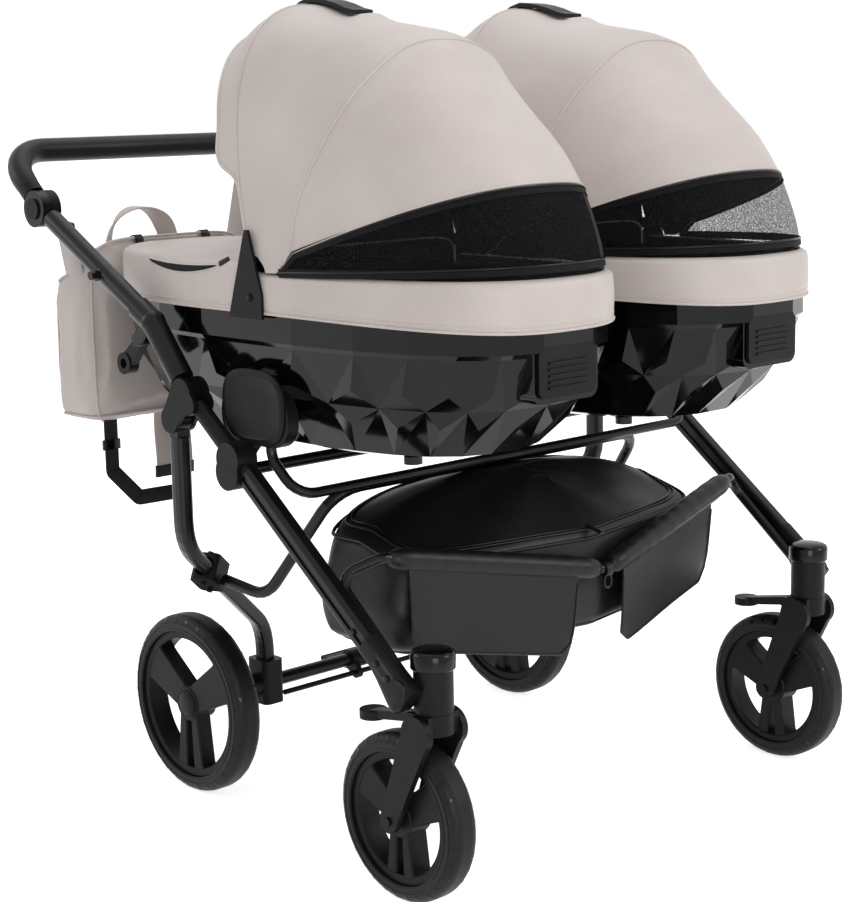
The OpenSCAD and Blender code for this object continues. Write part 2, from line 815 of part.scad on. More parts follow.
// Push tube with sleeve, elbow, joint disc and accessory stud
module push_tube(side) {
    stud = at_side(mix(elbow, joint, stud_share), side);
    stud_dir = unit([side, 0, -stud_drop]);
    inner = trigger_half + seat_gap;
    foot = fold + sleeve_start * sleeve_dir;
    shank = joint - arm_start * push_dir;
    placed() {
        difference() {
            union() {
                rod(at_side(foot, side), at_side(elbow, side), sleeve_r);
                translate(at_side(elbow, side)) sphere(sleeve_r + over);
                rod(at_side(elbow, side), at_side(elbow + sleeve_over * push_dir, side), sleeve_r);
                rod(at_side(elbow + (sleeve_over - over) * push_dir, side), at_side(shank, side), push_r);
                side_plate(side, side_x - eye_half, side_x + eye_half)
                    link_2d(yz(fold), eye_r, yz(foot + over * sleeve_dir), eye_half);
                side_plate(side, side_x + seat_gap / 2, side_x + disc_t)
                    translate(yz(joint)) circle(joint_r);
                side_plate(side, side_x + seat_gap / 2, side_x + arm_half)
                    link_2d(yz(joint), arm_half, yz(shank - arm_half * push_dir), arm_half);
                rod(stud, stud + (push_r + boss_h) * stud_dir, boss_r);
                rod(stud, stud + (push_r + boss_h + stud_h) * stud_dir, stud_r);
                for (s = [-1, 1]) {
                    x0 = side_x + (s > 0 ? inner : -inner - cheek_t);
                    side_plate(side, x0, x0 + cheek_t)
                        link_2d(yz(trigger_pivot), trigger_r, yz(elbow), trigger_r);
                }
            }
            side_plate(side, side_x - eye_half - over, side_x + eye_half + over)
                translate(yz(fold)) circle(fold_pin_r + run_gap);
            side_plate(side, side_x + disc_t - button_t - button_travel, side_x + disc_t + over)
                translate(yz(joint)) circle(button_r + run_gap);
            side_plate(side, side_x - inner, side_x + inner)
                translate(yz(trigger_pivot)) circle(trigger_r + over);
        }
        side_plate(side, side_x - disc_t, side_x + disc_t / 4) translate(yz(joint)) circle(pin_r);
        side_plate(side, side_x - inner - over, side_x + inner + over)
            translate(yz(trigger_pivot)) circle(trigger_pin_r);
    }
}

module fold_trigger(side) {
    tip = trigger_pivot + trigger_reach;
    placed() difference() {
        union() {
            side_plate(side, side_x - trigger_half, side_x + trigger_half)
                link_2d(yz(trigger_pivot), trigger_r - seat_gap, yz(tip), trigger_tip_r);
            side_plate(side, side_x - trigger_half - trigger_lip, side_x + trigger_half + trigger_lip)
                translate(yz(tip)) circle(trigger_tip_r + trigger_lip);
        }
        side_plate(side, side_x - trigger_half - over, side_x + trigger_half + over)
            translate(yz(trigger_pivot)) circle(trigger_pin_r + run_gap);
        side_plate(side, side_x - trigger_half - 2 * trigger_lip, side_x + trigger_half + 2 * trigger_lip)
            translate(yz(tip)) circle(trigger_hole_r);
    }
}

module handle_button(side) {
    x0 = side_x + disc_t + button_stand - button_t;
    placed() side_plate(side, x0, x0 + button_t) translate(yz(joint)) circle(button_r);
}

function handle_path() = let (
    a = at_side(joint + arm_start * arm_dir, right),
    b = at_side(bar_corner, right)) concat([a, b], flip([a, b]));

// Bent metal tube of the handle
module handlebar() {
    color(black) placed() bar(handle_path(), bar_r, bar_turn);
}

// Joint hub with the socket that holds one end of the tube
module handle_hub(side) {
    tube_end = joint + arm_start * arm_dir;
    mouth = tube_end + socket_h * arm_dir;
    placed() difference() {
        union() {
            side_plate(side, side_x - disc_t, side_x - seat_gap / 2) translate(yz(joint)) circle(joint_r);
            side_plate(side, side_x - arm_half, side_x - seat_gap / 2)
                link_2d(yz(joint), arm_half, yz(mouth - arm_half * arm_dir), arm_half);
            rod(at_side(tube_end - over * arm_dir, side), at_side(mouth, side), bar_r + socket_wall);
        }
        side_plate(side, side_x - disc_t - over, side_x + over)
            translate(yz(joint)) circle(pin_r + run_gap);
        rod(at_side(tube_end, side), at_side(mouth + over * arm_dir, side), bar_r + run_gap);
    }
}

module handle_grip() {
    path = handle_path();
    ends = [for (i = [0:3]) i == 0 ? path[0] + grip_start * way(path, 0)
        : i == 3 ? path[3] - grip_start * way(path, 2) : path[i]];
    inner = tube_rings(ends, bar_r + seat_gap, bar_r + seat_gap, bar_turn);
    color(black) placed() loft(concat(tube_rings(ends, grip_r, grip_r, bar_turn),
        [for (i = [len(inner) - 1:-1:0]) inner[i]]), true);
}

// Cross bars and cot adapters
module rear_cross_bar() {
    x = side_x - eye_half - cheek_t;
    color(black) placed() rod([-x, bar_seat.y, bar_seat.z], [x, bar_seat.y, bar_seat.z], cross_r);
}

module front_cross_bar() {
    foot_y = -lug_y - adapter_w / 4;
    half = [[-u_bar_x, foot_y, adapter_low_z], [-u_bar_x, foot_y, adapter_low_z - u_bar_drop],
        [-u_bar_x, -u_bar_y, u_bar_z]];
    color(black) placed() bar(concat(half, flip(half)), u_bar_r, u_bar_turn);
}

module adapter_body(side, x0, x1) {
    side_plate(side, x0, x1) translate([-lug_y, adapter_mid_z])
        round_box_2d(adapter_w, adapter_h, adapter_corner);
}

module lug_slot(side, x) {
    translate([side * (x + lug_t / 2), -lug_y, adapter_top_z - lug_deep / 2 + over])
        cube([lug_t + 2 * seat_gap, lug_w + 2 * seat_gap, lug_deep + 2 * over + 2 * seat_gap],
            center = true);
}

module outer_adapters() {
    arm_end = knuckle - knuckle_r * leg_dir;
    color(black) placed() for (side = [right, left]) difference() {
        union() {
            side_plate(side, adapter_in, adapter_out) translate([-lug_y, adapter_mid_z])
                round_box_2d(adapter_wing_w, adapter_h, adapter_wing_corner);
            side_plate(side, adapter_in, adapter_out)
                link_2d([-lug_y, adapter_mid_z], adapter_h / 3, yz(arm_end), link_r);
        }
        lug_slot(side, cot_x + lug_in);
    }
}

module centre_adapter() {
    saddle_top = adapter_low_z + adapter_corner;
    rear_top = bar_seat.z + cross_r;
    front_top = u_bar_z + u_bar_r;
    color(black) placed() {
        difference() {
            adapter_body(left, -centre_half, centre_half);
            for (side = [right, left]) lug_slot(side, cot_x - lug_in - lug_t);
        }
        translate([-saddle_half, bar_seat.y - cross_r, rear_top])
            cube([2 * saddle_half, 2 * cross_r, saddle_top - rear_top]);
        translate([-saddle_half, -u_bar_y - u_bar_r, front_top])
            cube([2 * saddle_half, 2 * u_bar_r, saddle_top - front_top]);
        translate([-saddle_half, -u_bar_y - u_bar_r, adapter_low_z])
            cube([2 * saddle_half, u_bar_y + u_bar_r + bar_seat.y + cross_r, adapter_corner]);
    }
}

// Cot pieces, drawn about the middle of the cot
module cot_place(side) {
    placed() translate([side * cot_x, -cot_y, 0]) children();
}

function oval(a, b, z, m, shift = 0, n = round_n) =
    [for (j = [0:m - 1]) let (q = super(360 * (j + shift) / m, n)) [a * q.x, b * q.y, z]];

// A row of facet corners: every other row stands out from the shell, the next one lies in
function facet_row(i) = oval(shell_a * row_shares[i][1], shell_b * row_shares[i][1],
    mix(cot_floor_z, band_z, row_shares[i][0]), facet_count, i / 2);
// Raised middle of the facet triangle a, b, c
function facet_peak(a, b, c) = let (mid = (a + b + c) / 3, n = unit(cross(b - a, c - a)))
    mid + relief * sign(n.x * mid.x + n.y * mid.y) * n;

// Open cup: triangles on the star row are raised to low pyramids
module shell_cup() {
    rows = [for (i = [0:len(row_shares) - 1]) facet_row(i)];
    last = (len(row_shares) - 1) / 2;
    brim = [oval(shell_a, shell_b, band_z + relief, facet_count, last),
        oval(shell_a, shell_b, shell_top_z, facet_count, last),
        oval(shell_a * cot_wall_share, shell_b * cot_wall_share, shell_top_z, facet_count, last)];
    inner = [for (k = inner_shares)
        oval(shell_a * k[1], shell_b * k[1], mix(cot_floor_z, band_z, k[0]), facet_count, last)];
    rings = concat(rows, brim, inner);
    m = facet_count;
    n = len(rings);
    points = [for (ring = rings) each ring];
    tris = [for (i = [0:n - 2]) for (j = [0:m - 1]) let (k = (j + 1) % m)
        each [[i * m + j, (i + 1) * m + j, i * m + k, i == star_row],
            [i * m + k, (i + 1) * m + j, (i + 1) * m + k, i == star_row - 1]]];
    raised = [for (t = tris) if (t[3]) t];
    peaks = [for (t = raised) facet_peak(points[t[0]], points[t[1]], points[t[2]])];
    plain = [for (t = tris) if (!t[3]) [t[0], t[1], t[2]]];
    sides = [for (q = [0:len(raised) - 1]) let (t = raised[q], c = n * m + q)
        each [[t[0], t[1], c], [t[1], t[2], c], [t[2], t[0], c]]];
    caps = [[for (j = [0:m - 1]) j], [for (j = [m - 1:-1:0]) (n - 1) * m + j]];
    polyhedron(concat(points, peaks), concat(plain, sides, caps));
}

module cot_shell(side) {
    color(gloss) cot_place(side) {
        difference() {
            union() {
                shell_cup();
                translate([0, panel_face + panel_depth, panel_z]) rotate([90, 0, 0])
                    linear_extrude(panel_depth)
                    round_box_2d(panel_w + 2 * panel_frame, panel_h + 2 * panel_frame, panel_corner);
            }
            translate([0, panel_face + panel_pocket, panel_z]) rotate([90, 0, 0])
                linear_extrude(panel_pocket + panel_clear)
                round_box_2d(panel_w + 2 * seat_gap, panel_h + 2 * seat_gap,
                    panel_corner - panel_frame / 2);
        }
        for (s = [-1, 1]) {
            lug_low = adapter_top_z - lug_deep;
            translate([s > 0 ? lug_in : -lug_in - lug_t, -hood_back - lug_w / 2, lug_low])
                cube([lug_t, lug_w, lug_deep + lug_head + seat_gap]);
            translate([s > 0 ? web_in : -lug_in - lug_t, -hood_back - lug_w / 2, adapter_top_z + seat_gap])
                cube([lug_in + lug_t - web_in, lug_w, lug_head]);
        }
        for (x = [-1, 1]) for (y = [-1, 1])
            translate([x * shell_a * foot_x_share, y * shell_b * foot_y_share, cot_floor_z - foot_h])
            cylinder(h = foot_h + over, r = foot_r);
    }
}

module end_panel(side) {
    nose = panel_face - panel_nose;
    thick = panel_pocket - panel_travel - over + panel_nose;
    color(black) cot_place(side) {
        translate([0, nose + thick, panel_z]) rotate([90, 0, 0]) linear_extrude(thick)
            round_box_2d(panel_w, panel_h, panel_corner - panel_frame / 2);
        for (i = [0:rib_n - 1])
            translate([-panel_w / 3, nose - rib_t, panel_z - panel_h / 3 + i * rib_step])
            cube([2 * panel_w / 3, rib_t + over, rib_w]);
    }
}

module mattress(side) {
    floor_z = mix(cot_floor_z, band_z, inner_shares[3][0]) + seat_gap;
    color(pale) cot_place(side) loft([for (k = mattress_shares)
        oval(shell_a * k[1], shell_b * k[2], floor_z + mattress_h * k[0], facet_count)]);
}

// Rim cover round the head end, from one hood plate to the other
function hem_z(q) = rim_z - rim_h - rim_drop * max(0, -q) ^ 2;

function rim_row(inset, lift_share) = [for (j = [0:rim_cols]) let (
    q = super(mix(180 + rim_open, 360 - rim_open, j / rim_cols), round_n))
    [(cot_a - inset) * q.x, (cot_b - inset) * q.y, mix(hem_z(q.y), rim_z - cloth, lift_share)]];
function rim_lip(inset, z) = [for (p = rim_row(inset, 1)) [p.x, p.y, z]];

module rim_cover(side) {
    face = [rim_row(0, 0), rim_row(0, mid_share), rim_row(0, 1),
        rim_lip(cloth, rim_z), rim_lip(3 * cloth, rim_z)];
    seat_z = shell_top_z + seat_gap;
    back = [rim_row(cloth, 0), rim_row(cloth, mid_share), rim_lip(cloth, seat_z),
        rim_lip(2 * cloth, seat_z), rim_lip(3 * cloth, seat_z)];
    color(beige) cot_place(side) slab(face, back);
}

// Apron over the handle half
function apron_point(i, j, inset) = let (
    q = super(apron_end * (i / apron_rows) ^ apron_bunch, round_n),
    c = super(180 * (1 - j / apron_cols), apron_n),
    top = rim_z + apron_lift * mix(apron_flat_share, 1, q.x),
    hem = rim_z - rim_h)
    [(cot_a * q.x - inset) * c.x, (cot_b - inset) * q.y - apron_front * (1 - q.y),
        hem + (top - inset - hem) * c.y];

module apron(side) {
    face = [for (i = [0:apron_rows]) [for (j = [0:apron_cols]) apron_point(i, j, 0)]];
    back = [for (i = [0:apron_rows]) [for (j = [0:apron_cols]) apron_point(i, j, cloth - seat_gap)]];
    color(beige) cot_place(side) slab(face, back);
}

// Hood: arches about the pivot line just over the rim
function hood_point(lean, t, inset) = let (
    q = super(t, hood_n), r = (hood_h * lookup(lean, reach_shares) - inset) * q.y)
    [(cot_a * hood_a_share - inset) * q.x, -hood_back + r * sin(lean), hood_z + r * cos(lean)];
function hood_grid(inset) = [for (lean = hood_leans) [for (j = [0:hood_cols])
    hood_point(lean, mix(180 - hood_foot, hood_foot, j / hood_cols), inset)]];

module hood_cover(side) {
    lift = [for (row = hood_grid(hood_t)) [for (p = row) [p.x, p.y, max(p.z, hood_z)]]];
    color(beige) cot_place(side) slab(hood_grid(0), lift);
}

module hood_bow(lean, x_eye, inset) {
    normal = [0, cos(lean), -sin(lean)];
    eye = [x_eye, -hood_back, pivot_z];
    arch = [for (j = [0:bow_cols])
        hood_point(lean, mix(bow_foot, 180 - bow_foot, j / bow_cols), inset)];
    foot = mix(eye, arch[0], bow_eye_r / norm(arch[0] - eye));
    sweep(concat([foot], arch, [[-foot.x, foot.y, foot.z]]), bow_r, normal);
    for (s = [-1, 1]) difference() {
        side_plate(s, x_eye - eye_t / 2, x_eye + eye_t / 2) translate([-hood_back, pivot_z])
            circle(bow_eye_r);
        side_plate(s, x_eye - eye_t, x_eye + eye_t) translate([-hood_back, pivot_z])
            circle(plate_pin_r + run_gap);
    }
}

module hood_plates(side) {
    low = rim_z - rim_h - plate_low;
    x0 = cot_a + seat_gap;
    color(black) cot_place(side) for (s = [-1, 1]) {
        side_plate(s, x0, x0 + plate_t) polygon([[-hood_back - plate_back, low],
            [-hood_back + plate_w - plate_back, low], [-hood_back + plate_w / 10, rim_z + plate_tip],
            [-hood_back, rim_z + plate_tip], [-hood_back - plate_back, rim_z - plate_tip / 2]]);
        side_plate(s, pin_in, x0) translate([-hood_back, pivot_z]) circle(plate_pin_r);
    }
}

// Curved carrying grip that rides on the front bow, over the top of the hood
function grip_edge(u, drop) = let (
    lean = mix(front_lean - grip_back_lean, front_lean + grip_front_lean, u),
    r = hood_h * lookup(lean, reach_shares) + over + grip_t + grip_lift * sin(180 * u) - drop)
    [for (s = [-1, 1]) [s * grip_w / 2, -hood_back + r * sin(lean), hood_z + r * cos(lean)]];

module hood_grip() {
    face = [for (i = [0:grip_rows]) grip_edge(i / grip_rows, 0)];
    back = [for (i = [0:grip_rows]) grip_edge(i / grip_rows, grip_t)];
    slab(face, back);
}

module hood_front_bow(side) {
    color(black) cot_place(side) {
        hood_bow(front_lean, front_eye_x, bow_inset);
        hood_grip();
    }
}

module hood_mid_bow(side) {
    color(black) cot_place(side) hood_bow(-mid_lean, mid_eye_x, bow_inset + mid_bow_drop);
}

// Basket: front bow bar with two padded rolls and flaps, and the zipped bag behind it
module basket_bow() {
    color(black) placed() bar(bow_path, front_bow_r, bow_turn);
}

module bow_cover(side) {
    a = [side * bow_in_pt.x, bow_in_pt.y, bow_in_pt.z];
    d = unit(bow_tip_pt - a);
    p = a + roll_end * d;
    q = bow_tip_pt - roll_end * d;
    n = unit(cross(d, [0, 0, 1])) * flap_t / 2;
    hang = [0, 0, -flap_h];
    drop = [0, 0, -(roll_r + front_bow_r) / 2];
    slope = (p - q) * flap_share;
    difference() {
        rod(p, q, roll_r);
        rod(p - over * d, q + over * d, front_bow_r + seat_gap);
    }
    corners = [[p - slope + drop, p - 2 * slope + hang], [q + slope + drop, q + slope + hang]];
    front = [for (row = corners) [for (c = row) c + n]];
    back = [for (row = corners) [for (c = row) c - n]];
    slab(front, back);
}

module bow_covers() {
    color(black) placed() for (side = [right, left]) bow_cover(side);
}

function basket_top(y) = mix(basket_top_back_z, basket_top_front_z,
    max(0, (-y - basket_mid) / (basket_front - basket_mid)));
function basket_ring(k, z_share, lift) = [for (j = [0:basket_cols - 1]) let (
    q = super(360 * j / basket_cols, basket_n),
    x = basket_w * k * q.x,
    y0 = -basket_mid + k * q.y * (basket_front - basket_back) / 2,
    y = y0 - basket_point * (1 - abs(q.x)) * max(0, -q.y))
    [x, y, mix(basket_z, basket_top(y0), z_share) + lift]];

module basket() {
    color(black) placed() loft([for (k = basket_shares) basket_ring(k[0], k[1], basket_lid * k[2])]);
}

// Changing bag with its carrying loop, tail and straps
function bag_ring(k, z) = [for (p = oval(bag_w / 2 * k, bag_d / 2 * k, z, bag_cols, 0, bag_n)) p + bag_mid];

module strap(path, w, t) {
    for (i = [0:len(path) - 2]) {
        d = way(path, i);
        side_dir = unit(cross(d, [0, 1, 0]));
        frame(side_dir, cross(d, side_dir), d, path[i]) translate([-w / 2, -t / 2, 0])
            cube([w, t, norm(path[i + 1] - path[i])]);
    }
}

function loop_ring(t) = let (out = [cos(t), 0, sin(t)],
    p = bag_mid + [loop_w / 2 * out.x - bag_w * loop_share, 0, bag_h + seat_gap + loop_h * out.z])
    [for (k = [[1, 1], [-1, 1], [-1, -1], [1, -1]])
        p + k[0] * strap_w / 2 * out + [0, k[1] * strap_t / 2, 0]];

module changing_bag() {
    color(beige) placed() {
        loft([for (k = bag_shares) bag_ring(k[1], bag_h * k[0])]);
        loft([for (i = [0:loop_n]) loop_ring(180 * i / loop_n)]);
        translate(bag_mid + [bag_w * tail_share - tail_w / 2, -strap_t / 2, -tail_h])
            cube([tail_w, strap_t, tail_h - seat_gap]);
    }
}

module bag_straps() {
    near = bag_mid + [-bag_w * strap_share, 0, bag_h + strap_w / 3];
    far = bag_mid + [bag_w * strap_share, 0, bag_h + strap_w / 3];
    hook = at_side(joint - 2 * joint_r * push_dir, right) + [push_r + 3 * strap_t, 0, 0];
    bar_under = [far.x, bar_y, bar_z] - (grip_r + strap_t) * unit([0, bar_y - far.y, bar_z - far.z]);
    web = [for (k = web_shares) bag_mid + [bag_w * k[0], 0, -seat_gap - tail_h * k[1]]];
    color(webbing) placed() {
        strap([near, hook], strap_w, strap_t);
        strap([far, bar_under], strap_w, strap_t);
        strap(web, strap_w, strap_t);
    }
}

// Nodes
module front_leg_right() { color(black) front_leg(right); }
module front_leg_left() { color(black) front_leg(left); }
module knuckles() { color(black) for (side = [right, left]) knuckle_part(side); }
module shoulders() { color(black) for (side = [right, left]) shoulder(side); }
module caster_housings() { color(black) for (side = [right, left]) caster_housing(side); }
module rear_leg_right() { color(black) rear_leg(right); }
module rear_leg_left() { color(black) rear_leg(left); }
module axle_brackets() { color(black) for (side = [right, left]) axle_bracket(side); }
module rear_axle() {
    x = bracket_x - bracket_w / 2;
    color(black) placed() rod([-x, 0, axle_z], [x, 0, axle_z], axle_r);
}
module strut_clamps() { color(black) for (side = [right, left]) strut_clamp(side); }
module basket_hoop() {
    half = sided(hoop_path, right);
    color(black) placed() bar(concat(half, flip(half)), hoop_r, hoop_turn);
}
module rear_rim_right() { color(black) rear_wheel_place(right) rim(rear_r); }
module rear_rim_left() { color(black) rear_wheel_place(left) rim(rear_r); }
module rear_tyre_right() { color(rubber) rear_wheel_place(right) tyre(rear_r); }
module rear_tyre_left() { color(rubber) rear_wheel_place(left) tyre(rear_r); }
module front_rim_right() { color(black) front_wheel_place(right) rim(front_r); }
module front_rim_left() { color(black) front_wheel_place(left) rim(front_r); }
module front_tyre_right() { color(rubber) front_wheel_place(right) tyre(front_r); }
module front_tyre_left() { color(rubber) front_wheel_place(left) tyre(front_r); }
module caster_fork_right() { color(black) fork(right); }
module caster_fork_left() { color(black) fork(left); }
module swivel_lever_right() { color(black) swivel_lever(right); }
module swivel_lever_left() { color(black) swivel_lever(left); }
module push_tube_right() { color(black) push_tube(right); }
module push_tube_left() { color(black) push_tube(left); }
module fold_trigger_right() { color(black) fold_trigger(right); }
module fold_trigger_left() { color(black) fold_trigger(left); }
module handle_hubs() { color(black) for (side = [right, left]) handle_hub(side); }
module handle_button_right() { color(black) handle_button(right); }
module handle_button_left() { color(black) handle_button(left); }

front_leg_right();
front_leg_left();
knuckles();
shoulders();
caster_housings();
rear_cross_bar();
front_cross_bar();
outer_adapters();
centre_adapter();
basket_bow();
bow_covers();
basket();
rear_leg_right();
rear_leg_left();
axle_brackets();
rear_axle();
strut_clamps();
basket_hoop();
brake_pedal();
rear_rim_right();
rear_tyre_right();
rear_rim_left();
rear_tyre_left();
caster_fork_right();
caster_fork_left();
swivel_lever_right();
swivel_lever_left();
front_rim_right();
front_tyre_right();
front_rim_left();
front_tyre_left();
push_tube_right();
push_tube_left();
fold_trigger_right();
fold_trigger_left();
handlebar();
handle_hubs();
handle_grip();
handle_button_right();
handle_button_left();
changing_bag();
bag_straps();
cot_shell(right);  // cot_shell_right
rim_cover(right);  // rim_cover_right
end_panel(right);  // end_panel_right
mattress(right);  // mattress_right
apron(right);  // apron_right
hood_cover(right);  // hood_cover_right
hood_front_bow(right);  // hood_front_bow_right
hood_mid_bow(right);  // hood_mid_bow_right
hood_plates(right);  // hood_plates_right
cot_shell(left);  // cot_shell_left
rim_cover(left);  // rim_cover_left
end_panel(left);  // end_panel_left
mattress(left);  // mattress_left
apron(left);  // apron_left
hood_cover(left);  // hood_cover_left
hood_front_bow(left);  // hood_front_bow_left
hood_mid_bow(left);  // hood_mid_bow_left
hood_plates(left);  // hood_plates_left
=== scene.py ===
"""Twin pram: soft goods, finishes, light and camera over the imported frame."""
import math

import bpy
import numpy as np
from mathutils import Matrix, Vector, noise


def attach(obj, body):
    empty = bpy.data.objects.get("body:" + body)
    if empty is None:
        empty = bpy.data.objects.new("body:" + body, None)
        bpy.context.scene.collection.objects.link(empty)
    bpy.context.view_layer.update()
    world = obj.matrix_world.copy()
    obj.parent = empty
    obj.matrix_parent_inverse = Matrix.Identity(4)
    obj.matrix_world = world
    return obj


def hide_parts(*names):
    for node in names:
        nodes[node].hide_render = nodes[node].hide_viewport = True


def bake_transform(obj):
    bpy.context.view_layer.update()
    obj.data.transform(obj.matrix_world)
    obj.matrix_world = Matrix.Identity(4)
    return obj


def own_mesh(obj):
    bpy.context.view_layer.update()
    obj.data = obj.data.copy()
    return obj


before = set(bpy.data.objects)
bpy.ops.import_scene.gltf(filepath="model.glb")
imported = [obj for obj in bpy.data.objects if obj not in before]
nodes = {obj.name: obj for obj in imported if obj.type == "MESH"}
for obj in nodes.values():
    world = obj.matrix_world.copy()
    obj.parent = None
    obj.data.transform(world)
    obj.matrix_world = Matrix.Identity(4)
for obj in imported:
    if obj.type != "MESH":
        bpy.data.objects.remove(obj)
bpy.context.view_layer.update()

MM = 0.001
SIDES = {"right": -1, "left": 1}

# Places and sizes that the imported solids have, in millimetres
AXLE_Y = 163.25
COT_X = 200.0
COT_Y = -64.75
COT_HALF_X = 190
COT_HALF_Y = 408
COT_ROUND = 2.8
RIM_LOW = 716
RIM_BEND = 763
RIM_TOP = 768
HINGE_Y = -27
WHEELS = {"rear": (322, AXLE_Y, 130), "front": (374, AXLE_Y - 511, 108)}
TYRE_DEPTH = 23
TYRE_HALF = 21
SHOULDER_R = 14
RIM_DEPTH = 11
RIM_HALF = 17
HUB_R = 25
HUB_HALF = 18
BAR_X = 410
BAR_Y = 292 + AXLE_Y
BAR_Z = 918


# Numbers and points, in millimetres


def mix(a, b, t):
    return a + (b - a) * t


def ease(a, b, x):
    t = min(1.0, max(0.0, (x - a) / (b - a)))
    return t * t * (3 - 2 * t)


def superellipse(deg, n):
    c = math.cos(math.radians(deg))
    s = math.sin(math.radians(deg))
    x = math.copysign(abs(c) ** (2 / n), c)
    y = math.copysign(abs(s) ** (2 / n), s)
    return x, y


def circle(n):
    """Cosine and sine at n even turns."""
    return [(math.cos(2 * math.pi * k / n), math.sin(2 * math.pi * k / n)) for k in range(n)]


def bevelled(a0, a1, b0, b1, cut):
    """Rectangle with cut corners, from its side at a0 round to its side at a1."""
    d = math.copysign(cut, a1 - a0)
    near = [(a0, b0 + cut), (a0, b1 - cut), (a0 + d, b1), (a1 - d, b1)]
    far = [(a1, b1 - cut), (a1, b0 + cut), (a1 - d, b0), (a0 + d, b0)]
    return near + far


def smooth_table(table, x):
    """Smooth curve through the pairs of a table."""
    xs = [p[0] for p in table]
    ys = [p[1] for p in table]
    if x <= xs[0]:
        return ys[0]
    if x >= xs[-1]:
        return ys[-1]
    i = max(k for k in range(len(xs) - 1) if xs[k] <= x)

    def slope(k):
        if k == 0 or k == len(xs) - 1:
            return 0.0
        return (ys[k + 1] - ys[k - 1]) / (xs[k + 1] - xs[k - 1])

    h = xs[i + 1] - xs[i]
    t = (x - xs[i]) / h
    a = (1 + 2 * t) * (1 - t) ** 2 * ys[i] + t * (1 - t) ** 2 * h * slope(i)
    b = t * t * (3 - 2 * t) * ys[i + 1] + t * t * (t - 1) * h * slope(i + 1)
    return a + b


def wobble(p, size, depth, seed=0.0):
    """Small soft unevenness, the same at each run."""
    v = Vector((p[0] / size, p[1] / size, p[2] / size + seed))
    return depth * noise.noise(v)


def rounded_path(points, radius, steps):
    """Polyline whose inner corners are arcs."""
    pts = [Vector(p) for p in points]
    out = [pts[0]]
    for i in range(1, len(pts) - 1):
        a = (pts[i - 1] - pts[i]).normalized()
        b = (pts[i + 1] - pts[i]).normalized()
        half = a.angle(b) / 2
        cut = radius / math.tan(half)
        centre = pts[i] + (a + b).normalized() * (radius / math.sin(half))
        start = pts[i] + a * cut - centre
        end = pts[i] + b * cut - centre
        turn = start.angle(end)
        for k in range(steps + 1):
            t = k / steps
            w0 = math.sin((1 - t) * turn) / math.sin(turn)
            w1 = math.sin(t * turn) / math.sin(turn)
            out.append(centre + start * w0 + end * w1)
    out.append(pts[-1])
    return out


def refined(path, step):
    """Same path with a point at least every step millimetres."""
    pts = [Vector(p) for p in path]
    out = [pts[0]]
    for a, b in zip(pts, pts[1:]):
        n = max(1, math.ceil((b - a).length / step))
        out += [a.lerp(b, k / n) for k in range(1, n + 1)]
    return out


def frames_along(path, closed=False):
    """Tangent, side and up at each point, carried along without twist."""
    pts = [Vector(p) for p in path]
    n = len(pts)
    tangents = []
    for i in range(n):
        a = pts[(i - 1) % n] if closed else pts[max(0, i - 1)]
        b = pts[(i + 1) % n] if closed else pts[min(n - 1, i + 1)]
        tangents.append((b - a).normalized())
    ref = Vector((0, 0, 1))
    if abs(tangents[0].dot(ref)) > 0.9:
        ref = Vector((0, 1, 0))
    side = tangents[0].cross(ref).normalized()
    out = []
    for t in tangents:
        side = (side - t * side.dot(t)).normalized()
        out.append((t, side, side.cross(t)))
    return pts, out


